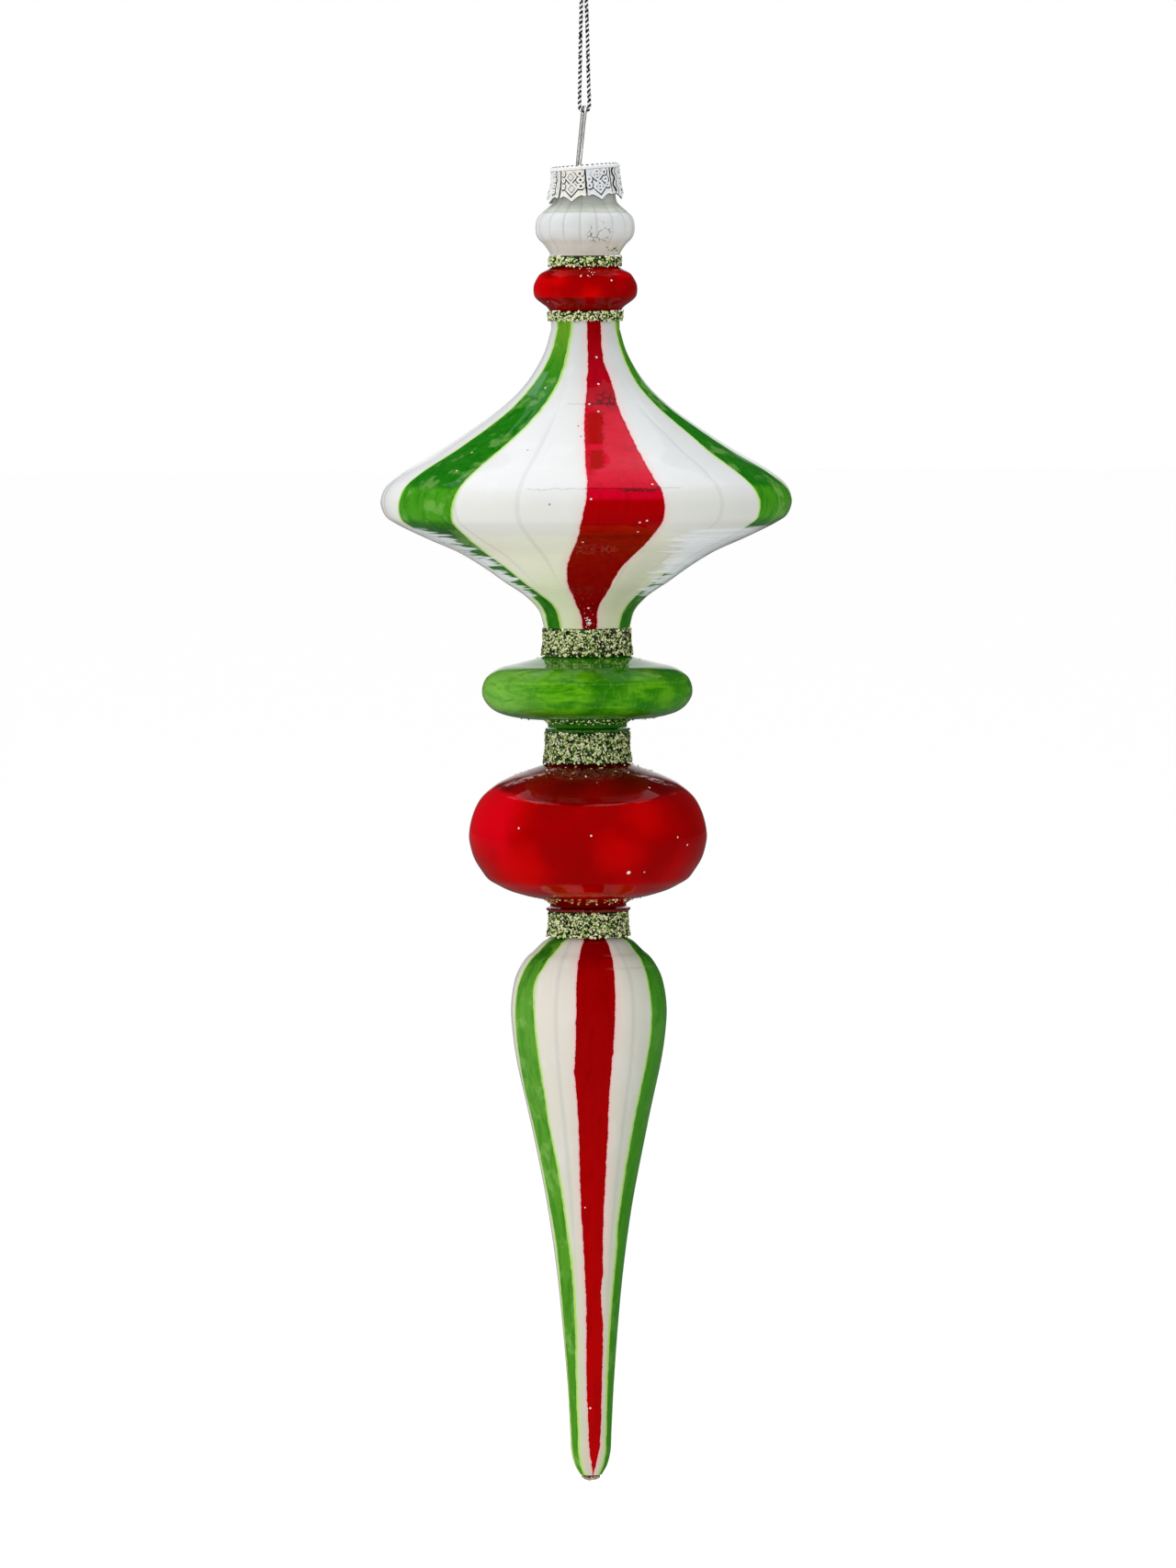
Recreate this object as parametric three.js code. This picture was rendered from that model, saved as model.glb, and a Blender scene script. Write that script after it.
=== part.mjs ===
// A long hanging glass ornament: six blown glass sections joined neck to neck under bands of glitter,
// held by a sprung wire in a silver cap and hung from a loop of thin cord.
// Millimetres, +Z up. The origin is where the hook bears inside the top of the cord's loop.
// The ornament's left and right are X, and the side that shows its red stripe faces -Y.

import * as THREE from 'three';
import { mergeVertices } from 'three/addons/utils/BufferGeometryUtils.js';

// Fits shared by all the pieces
const fitGap = 0.3;
const weldDistance = 0.0001;

// Cord
const cordDiameter = 0.9;
const cordSides = 8;
const strandSteps = 38;
const loopSteps = 26;
const knotRadius = 1.5;
const knotHalfHeight = 1.6;
const knotRings = 8;
const knotSegments = 12;
const knotDrop = 15.4;

// Half of the strands' route, from the knot down into the wire's eye: distance from the middle, and drop
const strandRoute = [
  [0.52, 17.3], [0.55, 21.0], [0.68, 26.5], [0.82, 32.0], [0.93, 38.0], [1.04, 43.0],
  [1.1, 45.8], [1.1, 47.05], [0.95, 47.6], [0.55, 48.0],
];
const strandLowest = 48.15;

// Half of the top loop's route, from the knot up to the hook
const loopRoute = [
  [0.52, 13.5], [0.95, 11.6], [1.9, 8.7], [2.75, 5.2], [2.6, 1.9], [1.5, 0.15],
];

// Cap
const capDrop = 60.0;
const capPlate = 0.35;
const capSheet = 0.35;
const capTilt = THREE.MathUtils.degToRad(4);
const capHoleRadius = 2.7;
const petalCount = 8;
const columnsPerPetal = 10;
const petalPointDepth = 8.2;
const petalShoulderDepth = 7.1;
const petalSlitDepth = 5.5;
const petalPointShare = 0.5;
const petalPointPower = 1.3;
const skirtFlare = 0.9;
const skirtSlack = 0.1;
const rimHeight = 1.1;
const rimStand = 0.2;
const fluteDepth = 0.12;
const petalCrown = 0.1;
const rimRows = [0.15, 0.85];
const skirtRows = [0, 0.35, 0.7, 1];

// Wire hanger
const wireDiameter = 0.9;
const wireSides = 8;
const wireSteps = 52;
const wireLean = THREE.MathUtils.degToRad(6);
const eyeHeight = 12.95;
const eyeHalfWidth = 3.4;
const eyeWidestShare = 0.27;
const legHalfGap = 0.8;
const legDepth = 10.0;

// A leg from its foot up to the cap, as shares of the foot's spread and of the way up from the foot
const legShape = [[0.97, 0.18], [0.62, 0.5], [0.3, 0.78]];

// One side of the eye from the cap up, as shares of its half width past the legs and of its height left above
const eyeShape = [[0, 1], [0.35, 0.8], [0.8, 0.55], [1, eyeWidestShare], [0.65, 0.08]];

// Glass
const glassWall = 1.1;
const cementThickness = 0.4;
const goreCount = 18;
const goreDepth = 0.25;
const outerTolerance = 0.22;
const innerTolerance = 0.5;
const samplesPerSpan = 4;
const neckRadius = 7.1;

// Each section has a straight collar, swells over its rise to a belly and draws in over its fall to a foot.
// A shape gives points on the way as shares of the height and of the change in radius.
// Its creases are turned by creaseTurn from the front.
const crownBulb = {
  name: 'crown_bulb',
  collarRadius: neckRadius,
  collarLength: 6.3,
  bellyRadius: 11.5,
  footRadius: 8.1,
  footLength: 0.5,
  rise: 7.45,
  fall: 5.95,
  riseShape: [[0.22, 0.09], [0.49, 0.57], [0.66, 0.86], [0.83, 0.975]],
  fallShape: [[0.21, 0.03], [0.43, 0.2], [0.64, 0.56], [0.82, 0.8]],
  segments: 2 * goreCount,
  creaseTurn: -6,
  colour: 0xd9d8d0,
};

const smallRedBulb = {
  name: 'small_red_bulb',
  collarRadius: 7.7,
  collarLength: 1.7,
  bellyRadius: 12.0,
  footRadius: 8.4,
  footLength: 0.2,
  rise: 5.3,
  fall: 4.45,
  riseShape: [[0.12, 0.31], [0.28, 0.63], [0.52, 0.84], [0.76, 0.97]],
  fallShape: [[0.29, 0.06], [0.48, 0.235], [0.67, 0.53], [0.86, 0.85]],
  segments: 28,
  creaseTurn: null,
  colour: 0xa8000a,
};

const stripedBulb = {
  name: 'striped_bulb',
  collarRadius: 7.9,
  collarLength: 3.3,
  bellyRadius: 47.55,
  footRadius: 10.0,
  footLength: 0.4,
  rise: 39.6,
  fall: 28.95,
  riseShape: [
    [0.14, 0.043], [0.312, 0.147], [0.441, 0.276], [0.57, 0.453], [0.7, 0.654], [0.828, 0.871], [0.914, 0.97],
  ],
  fallShape: [
    [0.118, 0.031], [0.176, 0.093], [0.294, 0.278], [0.412, 0.482], [0.53, 0.632], [0.647, 0.759],
    [0.765, 0.892], [0.88, 0.972],
  ],
  segments: 2 * goreCount,
  creaseTurn: 0.7,
  colour: 0xd8d6c8,
};

const greenDisc = {
  name: 'green_disc',
  collarRadius: 9.6,
  collarLength: 5.5,
  bellyRadius: 24.35,
  footRadius: 9.15,
  footLength: 0.85,
  rise: 8.0,
  fall: 7.65,
  riseShape: [[0.1, 0.19], [0.227, 0.467], [0.307, 0.661], [0.42, 0.8], [0.6, 0.925], [0.79, 0.98]],
  fallShape: [
    [0.2, 0.014], [0.444, 0.091], [0.61, 0.189], [0.72, 0.3], [0.8, 0.44], [0.88, 0.66], [0.95, 0.87],
  ],
  segments: 28,
  creaseTurn: null,
  colour: 0x2f8a0e,
};

const redOvalBulb = {
  name: 'red_oval_bulb',
  collarRadius: 9.15,
  collarLength: 7.0,
  bellyRadius: 27.55,
  footRadius: 8.8,
  footLength: 0.65,
  rise: 17.0,
  fall: 15.55,
  riseShape: [
    [0.05, 0.13], [0.1125, 0.295], [0.1875, 0.474], [0.2875, 0.65], [0.45, 0.827], [0.6, 0.913], [0.8, 0.975],
  ],
  fallShape: [
    [0.16, 0.02], [0.33, 0.065], [0.5, 0.15], [0.63, 0.233], [0.72, 0.355], [0.8, 0.49], [0.88, 0.705],
    [0.94, 0.92],
  ],
  segments: 28,
  creaseTurn: null,
  colour: 0xa4000a,
};

const stripedDrop = {
  name: 'striped_drop',
  collarRadius: 8.5,
  collarLength: 5.75,
  bellyRadius: 18.05,
  footRadius: 2.55,
  footLength: 0,
  rise: 16.6,
  fall: 108.5,
  riseShape: [[0.06, 0.19], [0.19, 0.424], [0.28, 0.6], [0.487, 0.826], [0.7, 0.94]],
  fallShape: [
    [0.047, 0.018], [0.11, 0.08], [0.235, 0.272], [0.392, 0.492], [0.486, 0.595], [0.58, 0.677],
    [0.706, 0.76], [0.82, 0.82], [0.91, 0.85], [0.95, 0.865], [0.98, 0.92],
  ],
  segments: 2 * goreCount,
  creaseTurn: -5,
  colour: 0xd8d6c8,
};

const sections = [crownBulb, smallRedBulb, stripedBulb, greenDisc, redOvalBulb, stripedDrop];

// Joints, from the top down. Each stub reaches stubLength below its shoulder into the next collar.
// A bead of cement lies between shoulder and rim, and stands out past the collar where it shows.
// The glitter lies on the collar down to a bare stretch above the swell, as thick as given at its top, waist and foot.
const crownJoint = {
  stubLength: 3.6,
  bead: 0.4,
  beadStand: 0,
  bare: 0.3,
  bandTop: 0.35,
  bandWaist: 0.4,
  bandFoot: 0.45,
};

const throatJoint = {
  stubLength: 4.0,
  bead: 0.4,
  beadStand: 0,
  bare: 2.0,
  bandTop: 0.6,
  bandWaist: 0.5,
  bandFoot: 0.3,
};

const stripedJoint = {
  stubLength: 6.0,
  bead: 0.4,
  beadStand: 0,
  bare: 0.3,
  bandTop: 0.3,
  bandWaist: 0.3,
  bandFoot: 0.75,
};

const discJoint = {
  stubLength: 6.5,
  bead: 0.7,
  beadStand: 0.45,
  bare: 0.3,
  bandTop: 0.4,
  bandWaist: 0.3,
  bandFoot: 0.9,
};

const ovalJoint = {
  stubLength: 5.5,
  bead: 0.7,
  beadStand: 1.0,
  bare: 0.3,
  bandTop: 0.4,
  bandWaist: 0.45,
  bandFoot: 0.9,
};

const glassJoints = [crownJoint, throatJoint, stripedJoint, discJoint, ovalJoint];
const bandSegments = 24;
const cementSegments = 20;

// Tip of the drop
const tipHoleRadius = 1.5;
const tipWall = 1.6;
const sealRadius = 2.3;
const sealHeight = 1.1;
const sealRootLength = 1.2;
const sealShape = [[0, 1], [0.6, 0.85], [1, 0.35], [0.9, 0]];
const sealSegments = 12;

// Surfaces: colour, roughness, metalness
const cordSurface = [0xb9b7ad, 0.35, 0.8];
const wireSurface = [0xb5b5b2, 0.25, 1];
const capSurface = [0xc8c8c6, 0.25, 1];
const cementSurface = [0x7d8a5a, 0.5, 0];
const glitterSurface = [0x9fb35a, 0.5, 0.4];
const sealSurface = [0x8a6f4a, 0.8, 0];
const glassFinish = [0.08, 0];

// Derived places
const cordRadius = cordDiameter / 2;
const wireRadius = wireDiameter / 2;
const archDrop = capDrop - eyeHeight;
const boreRadius = neckRadius - glassWall;
const capInner = neckRadius + fitGap + skirtSlack;
const capOuter = capInner + capSheet;
const rimDrop = capPlate + fitGap + Math.sin(capTilt) * neckRadius;

function material(colour, roughness, metalness) {
  return new THREE.MeshStandardMaterial({ color: colour, roughness, metalness });
}

function named(name, geometry, surface) {
  const mesh = new THREE.Mesh(geometry, surface);
  mesh.name = name;
  return mesh;
}

function welded(geometry) {
  geometry.deleteAttribute('normal');
  geometry.deleteAttribute('uv');
  return mergeVertices(geometry, weldDistance);
}

// Turns an outline of radius and height about the Z axis, its first angle at the front and going to the right.
// press may move each point of the outline at each angle.
function revolved(outline, segments, start = 0, press = (point) => point) {
  const geometry = new THREE.LatheGeometry(outline, segments);
  const position = geometry.attributes.position;
  for (let column = 0; column <= segments; column++) {
    const turn = column % segments;
    const angle = start + (turn * 2 * Math.PI) / segments;
    for (let row = 0; row < outline.length; row++) {
      const point = press(outline[row], turn, row);
      position.setXYZ(
        column * outline.length + row,
        point.x * Math.sin(angle),
        -point.x * Math.cos(angle),
        point.y,
      );
    }
  }
  return welded(geometry);
}

// Keeps the points that a line needs to stay within the tolerance.
function thinned(points, tolerance) {
  const kept = [points[0]];
  let from = 0;
  while (from < points.length - 1) {
    let to = from + 1;
    while (to + 1 < points.length && chordHolds(points, from, to + 1, tolerance)) {
      to += 1;
    }
    kept.push(points[to]);
    from = to;
  }
  return kept;
}

function chordHolds(points, from, to, tolerance) {
  const along = points[to].clone().sub(points[from]).normalize();
  for (let i = from + 1; i < to; i++) {
    const offset = points[i].clone().sub(points[from]);
    if (Math.abs(offset.cross(along)) > tolerance) {
      return false;
    }
  }
  return true;
}

// The curve of a section from the end of its collar to its foot, as points and outward normals.
function swell(section, rim) {
  const start = rim - section.collarLength;
  const belly = start - section.rise;
  const foot = belly - section.fall;
  const way = [new THREE.Vector3(section.collarRadius, start, 0)];
  for (const [down, out] of section.riseShape) {
    const radius = THREE.MathUtils.lerp(section.collarRadius, section.bellyRadius, out);
    way.push(new THREE.Vector3(radius, start - section.rise * down, 0));
  }
  way.push(new THREE.Vector3(section.bellyRadius, belly, 0));
  for (const [down, inward] of section.fallShape) {
    const radius = THREE.MathUtils.lerp(section.bellyRadius, section.footRadius, inward);
    way.push(new THREE.Vector3(radius, belly - section.fall * down, 0));
  }
  way.push(new THREE.Vector3(section.footRadius, foot, 0));
  const curve = new THREE.CatmullRomCurve3(way, false, 'centripetal');
  const samples = samplesPerSpan * (way.length - 1);
  const points = [];
  const inner = [];
  for (let i = 0; i <= samples; i++) {
    const point = curve.getPoint(i / samples);
    const tangent = curve.getTangent(i / samples);
    points.push(new THREE.Vector2(point.x, point.y));
    inner.push(new THREE.Vector2(point.x + glassWall * tangent.y, point.y - glassWall * tangent.x));
  }
  return { points, inner, foot };
}

// Presses the creases between the gores into the rows that belong to the swell.
function goresIn(section, firstRow, lastRow) {
  if (section.creaseTurn === null) {
    return (point) => point;
  }
  return (point, turn, row) => {
    if (turn % 2 === 1 || row < firstRow || row > lastRow) {
      return point;
    }
    const depth = (goreDepth * point.x) / section.bellyRadius;
    return new THREE.Vector2(point.x - depth, point.y);
  };
}

function creaseStart(section) {
  return THREE.MathUtils.degToRad(section.creaseTurn ?? 0);
}

function stubRadiusIn(collarRadius) {
  return collarRadius - glassWall - 2 * fitGap - cementThickness;
}

// A blown section: an open shell with a collar at its top and a narrower stub below its shoulder.
function glassSection(section, rim, shoulder, next, joint) {
  const { points, inner } = swell(section, rim);
  const stubRadius = stubRadiusIn(next.collarRadius);
  const stubBore = stubRadius - glassWall;
  const stubEnd = shoulder - joint.stubLength;
  const floor = shoulder + glassWall;
  const collarBore = section.collarRadius - glassWall;
  const outer = thinned(points, outerTolerance).reverse();
  const lining = thinned(inner.filter((point) => point.y > floor && point.x > stubBore), innerTolerance);
  const bottom = lining[lining.length - 1];
  const outline = [
    new THREE.Vector2(stubRadius, stubEnd),
    new THREE.Vector2(stubRadius, shoulder),
    new THREE.Vector2(section.footRadius, shoulder),
    ...outer,
    new THREE.Vector2(section.collarRadius, rim),
    new THREE.Vector2(collarBore, rim),
    ...lining,
    new THREE.Vector2(bottom.x, floor),
    new THREE.Vector2(stubBore, floor),
    new THREE.Vector2(stubBore, stubEnd),
    new THREE.Vector2(stubRadius, stubEnd),
  ];
  const firstRow = 3;
  const press = goresIn(section, firstRow, firstRow + outer.length - 1);
  return revolved(outline, section.segments, creaseStart(section), press);
}

// The lowest section draws out to a tip with a small hole.
function glassDrop(section, rim) {
  const { points, inner, foot } = swell(section, rim);
  const outer = thinned(points, outerTolerance).reverse();
  const floor = foot + tipWall;
  const lining = thinned(inner.filter((point) => point.y > floor), innerTolerance);
  const outline = [
    new THREE.Vector2(tipHoleRadius, foot),
    ...outer,
    new THREE.Vector2(section.collarRadius, rim),
    new THREE.Vector2(section.collarRadius - glassWall, rim),
    ...lining,
    new THREE.Vector2(tipHoleRadius, floor),
    new THREE.Vector2(tipHoleRadius, foot),
  ];
  const press = goresIn(section, 1, outer.length);
  return revolved(outline, section.segments, creaseStart(section), press);
}

// Cement fills the space between stub and collar, with a bead under the shoulder.
function cementRing(section, next, joint, shoulder, rim) {
  const inside = stubRadiusIn(next.collarRadius) + fitGap;
  const outside = inside + cementThickness;
  const beadRadius = next.collarRadius + joint.beadStand;
  const top = shoulder - fitGap;
  const bottom = shoulder - joint.stubLength;
  const outline = [
    new THREE.Vector2(inside, bottom),
    new THREE.Vector2(outside, bottom),
    new THREE.Vector2(outside, rim + fitGap),
    new THREE.Vector2(beadRadius, rim + fitGap),
    new THREE.Vector2(beadRadius, top),
    new THREE.Vector2(inside, top),
    new THREE.Vector2(inside, bottom),
  ];
  return revolved(outline, cementSegments);
}

// A sleeve of glitter round the collar, a little wider where it meets the swell below.
function glitterBand(next, joint, shoulder, rim) {
  const hidden = joint.beadStand === 0;
  const top = hidden ? shoulder - fitGap : rim;
  const bottom = rim - next.collarLength + joint.bare;
  const inside = next.collarRadius + fitGap;
  const outline = [
    new THREE.Vector2(inside, bottom),
    new THREE.Vector2(inside + joint.bandFoot, bottom),
    new THREE.Vector2(inside + joint.bandWaist, (top + bottom) / 2),
    new THREE.Vector2(inside + joint.bandTop, top),
    new THREE.Vector2(inside, top),
    new THREE.Vector2(inside, bottom),
  ];
  return revolved(outline, bandSegments);
}

function tipSeal(foot) {
  const rootRadius = tipHoleRadius - fitGap;
  const face = foot - fitGap;
  const outline = [
    ...sealShape.map(([out, down]) => new THREE.Vector2(out * sealRadius, face - down * sealHeight)),
    new THREE.Vector2(rootRadius, face),
    new THREE.Vector2(rootRadius, foot + sealRootLength),
    new THREE.Vector2(0, foot + sealRootLength),
  ];
  return revolved(outline, sealSegments);
}

// All the glass from the neck down, with what joins it
function glassBody() {
  const body = new THREE.Group();
  let rim = -capDrop - rimDrop;
  sections.forEach((section, i) => {
    const surface = material(section.colour, ...glassFinish);
    const next = sections[i + 1];
    if (!next) {
      body.add(named(section.name, glassDrop(section, rim), surface));
      const foot = rim - section.collarLength - section.rise - section.fall;
      body.add(named('tip_seal', tipSeal(foot), material(...sealSurface)));
      return;
    }
    const joint = glassJoints[i];
    const height = section.collarLength + section.rise + section.fall + section.footLength;
    const shoulder = rim - height;
    const nextRim = shoulder - joint.bead - 2 * fitGap;
    body.add(named(section.name, glassSection(section, rim, shoulder, next, joint), surface));
    const ring = cementRing(section, next, joint, shoulder, nextRim);
    body.add(named(`cement_ring_${i + 1}`, ring, material(...cementSurface)));
    const band = glitterBand(next, joint, shoulder, nextRim);
    body.add(named(`glitter_band_${i + 1}`, band, material(...glitterSurface)));
    rim = nextRim;
  });
  return body;
}

// How far a petal hangs down at a share of the way from its middle to the slit beside it
function petalDepth(share) {
  if (share === 1) {
    return petalSlitDepth;
  }
  const towardsPoint = Math.max(0, 1 - share / petalPointShare);
  return petalShoulderDepth + (petalPointDepth - petalShoulderDepth) * towardsPoint ** petalPointPower;
}

// The cap: a pierced plate, a reeded rim and a flared skirt cut into petals.
// Each row of the skirt lies at a share of the petal's depth, so that the lower edge follows the petals.
function capShell() {
  const halfPetal = columnsPerPetal / 2;
  const holeEdge = [{ radius: capHoleRadius, height: -capPlate }, { radius: capHoleRadius, height: 0 }];
  const skirt = skirtRows.map((share) => ({ share, radius: capOuter }));
  const lining = skirtRows.map((share) => ({ share, radius: capInner })).reverse();
  const rimRadius = capOuter + rimStand;
  const rim = rimRows.map((share) => ({ radius: rimRadius, height: -rimHeight * share, reeded: true }));
  const loop = [
    ...holeEdge,
    { radius: capOuter, height: 0 },
    ...rim,
    ...skirt,
    ...lining.slice(0, -1),
    { radius: capInner, height: -capPlate },
    holeEdge[0],
  ].reverse();
  const outline = loop.map((row) => new THREE.Vector2(row.radius, row.height ?? 0));
  const press = (point, turn, index) => {
    const row = loop[index];
    if (row.reeded) {
      return new THREE.Vector2(row.radius - (turn % 2) * fluteDepth, row.height);
    }
    if (row.share === undefined) {
      return point;
    }
    const place = turn % columnsPerPetal;
    const share = Math.min(place, columnsPerPetal - place) / halfPetal;
    const depth = petalDepth(share);
    const height = -rimHeight - (depth - rimHeight) * row.share;
    const flare = skirtFlare * (height / petalPointDepth) ** 2 + petalCrown * (1 - share);
    return new THREE.Vector2(row.radius + flare, height);
  };
  const halfTurn = Math.PI / petalCount;
  return revolved(outline, petalCount * columnsPerPetal, halfTurn, press);
}

function cap() {
  const mesh = named('cap', capShell(), material(...capSurface));
  mesh.position.z = -capDrop;
  mesh.rotation.y = -capTilt;
  return mesh;
}

// A round tube along a path, closed at both ends
function tube(path, radius, sides, steps) {
  const section = new THREE.Shape();
  for (let i = 0; i < sides; i++) {
    const angle = (2 * Math.PI * i) / sides;
    const x = radius * Math.cos(angle);
    const y = radius * Math.sin(angle);
    if (i === 0) {
      section.moveTo(x, y);
    } else {
      section.lineTo(x, y);
    }
  }
  return welded(new THREE.ExtrudeGeometry(section, { steps, extrudePath: path, bevelEnabled: false }));
}

// A curve through the half route on the left, the middle point and the same route mirrored on the right
function mirroredPath(half, middle, place) {
  const left = half.map(([out, drop]) => place(-out, drop));
  const right = half.map(([out, drop]) => place(out, drop)).reverse();
  return new THREE.CatmullRomCurve3([...left, place(0, middle), ...right], false, 'centripetal');
}

function cordPlace(out, drop) {
  return new THREE.Vector3(out, 0, -drop);
}

function cordStrands() {
  return tube(mirroredPath(strandRoute, strandLowest, cordPlace), cordRadius, cordSides, strandSteps);
}

function cordLoop() {
  return tube(mirroredPath(loopRoute, -cordRadius, cordPlace), cordRadius, cordSides, loopSteps);
}

function cordKnot() {
  const outline = [];
  for (let i = 0; i <= knotRings; i++) {
    const angle = (Math.PI * i) / knotRings;
    const radius = i % knotRings === 0 ? 0 : knotRadius * Math.sin(angle);
    outline.push(new THREE.Vector2(radius, -knotDrop - knotHalfHeight * Math.cos(angle)));
  }
  return revolved(outline, knotSegments);
}

// One wire bent flat: two feet that spring out against the neck, legs side by side through the cap,
// and a round eye above it. The flat it is bent in leans about the top of the eye.
function wireHanger() {
  const lean = (out, down) => new THREE.Vector3(
    -down * Math.sin(wireLean),
    out,
    -archDrop - down * Math.cos(wireLean),
  );
  const footDown = eyeHeight + legDepth;
  const footSide = footDown * Math.sin(wireLean);
  const footRadius = boreRadius - fitGap - wireRadius;
  const footOut = Math.sqrt(footRadius ** 2 - footSide ** 2);
  const leg = legShape.map(([spread, up]) => [spread * footOut, footDown - up * legDepth]);
  const eye = eyeShape.map(([out, left]) => [
    THREE.MathUtils.lerp(legHalfGap, eyeHalfWidth, out),
    left * eyeHeight,
  ]);
  const half = [[footOut, footDown], ...leg, ...eye];
  return tube(mirroredPath(half, 0, lean), wireRadius, wireSides, wireSteps);
}

const ornament = new THREE.Group();
ornament.add(named('cord_loop', cordLoop(), material(...cordSurface)));
ornament.add(named('cord_knot', cordKnot(), material(...cordSurface)));
ornament.add(named('cord_strands', cordStrands(), material(...cordSurface)));
ornament.add(named('wire_hanger', wireHanger(), material(...wireSurface)));
ornament.add(cap());
ornament.add(glassBody());

export default ornament;
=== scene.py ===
# The looks of a long hanging glass ornament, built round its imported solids.
# Metres, +Z up. The side with the red stripe faces -Y. Lengths in tables are millimetres, angles are degrees.

import math

import bpy
import numpy as np
from mathutils import Matrix, Vector


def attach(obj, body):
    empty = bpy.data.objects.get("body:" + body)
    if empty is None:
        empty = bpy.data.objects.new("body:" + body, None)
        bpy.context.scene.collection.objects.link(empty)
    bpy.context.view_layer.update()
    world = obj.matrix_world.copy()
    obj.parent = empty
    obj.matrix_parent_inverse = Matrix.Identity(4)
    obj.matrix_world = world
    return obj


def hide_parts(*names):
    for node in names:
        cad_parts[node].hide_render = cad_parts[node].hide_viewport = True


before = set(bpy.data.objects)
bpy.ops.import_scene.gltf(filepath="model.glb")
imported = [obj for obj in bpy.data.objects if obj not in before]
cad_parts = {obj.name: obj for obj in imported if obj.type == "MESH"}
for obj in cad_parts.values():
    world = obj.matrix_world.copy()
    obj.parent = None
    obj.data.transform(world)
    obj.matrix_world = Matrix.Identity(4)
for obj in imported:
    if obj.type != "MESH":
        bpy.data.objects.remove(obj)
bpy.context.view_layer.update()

MM = 0.001
scene = bpy.context.scene
rng = np.random.default_rng(11)

# Camera
EYE = Vector((0.0, -2.6, -0.068))
AIM = Vector((0.00015, 0.0, -0.2035))
VIEW_TALL = 0.36274
VIEW_ROLL = math.radians(-0.2824)
SENSOR = 36.0

# Studio
FLOOR_HEIGHT = -0.47
FLOOR_HALF = 14.0
FLOOR_TONE = 0.8
FLOOR_GLOSS_TONE = 0.12
FLOOR_GLOW = 0.4
WHITE = (1.0, 1.0, 1.0)
AMBIENT = 0.78
AMBIENT_LEAN = 0.34
BRIGHTEST_WAY = (-0.5, -0.8, 0.1)
DARK_ROOM = 0.04
WINDOW_ACROSS = (0.2, 0.1)
WINDOW_UP = (0.4, 0.26)
WINDOW_MIDDLE = 0.1


def place_camera():
    ahead = (AIM - EYE).normalized()
    level = Vector((1, 0, 0))
    rise = level.cross(ahead)
    right = math.cos(VIEW_ROLL) * level + math.sin(VIEW_ROLL) * rise
    up = math.cos(VIEW_ROLL) * rise - math.sin(VIEW_ROLL) * level
    data = bpy.data.cameras.new("view")
    data.sensor_width = SENSOR
    data.lens = SENSOR * (AIM - EYE).length / VIEW_TALL
    data.clip_start, data.clip_end = 0.1, 60.0
    scene.camera = bpy.data.objects.new("view", data)
    scene.camera.matrix_world = Matrix.Translation(EYE) @ Matrix((right, up, -ahead)).transposed().to_4x4()
    scene.collection.objects.link(scene.camera)


# Node trees

class Value:
    """A number or a colour in a node tree. Arithmetic on it adds nodes to the tree."""

    def __init__(self, nodes, socket):
        self.nodes = nodes
        self.socket = socket

    def math(self, operation, *others):
        return self.nodes.node("Math", 0, enumerate((self, *others)), operation=operation)

    def __add__(self, other):
        return self.math("ADD", other)

    def __sub__(self, other):
        return self.math("SUBTRACT", other)

    def __mul__(self, other):
        return self.math("MULTIPLY", other)

    def __abs__(self):
        return self.math("ABSOLUTE")

    def most(self, other):
        return self.math("MAXIMUM", other)

    def over(self, limit):
        return self.math("GREATER_THAN", limit)

    def below(self, limit):
        return self.math("LESS_THAN", limit)

    def centred(self, width):
        """A noise moved to lie round 0, and scaled."""
        return (self - 0.5) * width

    def ease(self, low, high, end=1.0, start=0.0):
        """Turns smoothly from start at low to end at high, where either may be the greater."""
        values = (self, low, high, start, end)
        return self.nodes.node("MapRange", 0, enumerate(values), interpolation_type="SMOOTHSTEP")

    def near(self, middle, half):
        """1 at the middle and 0 beyond half a width from it."""
        return abs(self - middle).ease(half, 0.4 * half)

    def between(self, low, high, soft):
        return self.ease(low - soft, low + soft) * self.ease(high + soft, high - soft)

    def filtered(self, share, tone):
        """This colour, with a share of it seen through a tone."""
        return self.nodes.mix(share, self, tone, "MULTIPLY")

    def painted(self, *layers):
        return self.nodes.layered(self, *layers)


class Nodes:
    """A node tree that short calls fill."""

    def __init__(self, tree):
        self.tree = tree

    def feed(self, socket, value):
        if isinstance(value, Value):
            self.tree.links.new(value.socket, socket)
        else:
            socket.default_value = (*value, 1.0) if socket.type == "RGBA" else value

    def node(self, kind, output, inputs=(), **settings):
        """An output of a new node, whose inputs are given by name or number."""
        made = self.tree.nodes.new("ShaderNode" + kind)
        for key, value in settings.items():
            setattr(made, key, value)
        for key, value in dict(inputs).items():
            self.feed(made.inputs[key], value)
        return Value(self, made.outputs[output])

    def background(self, **inputs):
        for key, value in inputs.items():
            self.feed(self.tree.nodes["Background"].inputs[key], value)

    def mix(self, share, a, b, blend="MIX"):
        return self.node("Mix", 2, {0: share, 6: a, 7: b}, data_type="RGBA", blend_type=blend)

    def layered(self, whole, *layers):
        """A colour under layers, each with its share and tone."""
        for share, tone in layers:
            whole = self.mix(share, whole, tone)
        return whole

    def rays(self):
        """Whether the ray is the camera's or came through glass, and whether it is a mirrored one."""
        camera, through, glossy = (
            self.node("LightPath", f"Is {kind} Ray") for kind in ("Camera", "Transmission", "Glossy")
        )
        return camera.most(through), glossy


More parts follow.
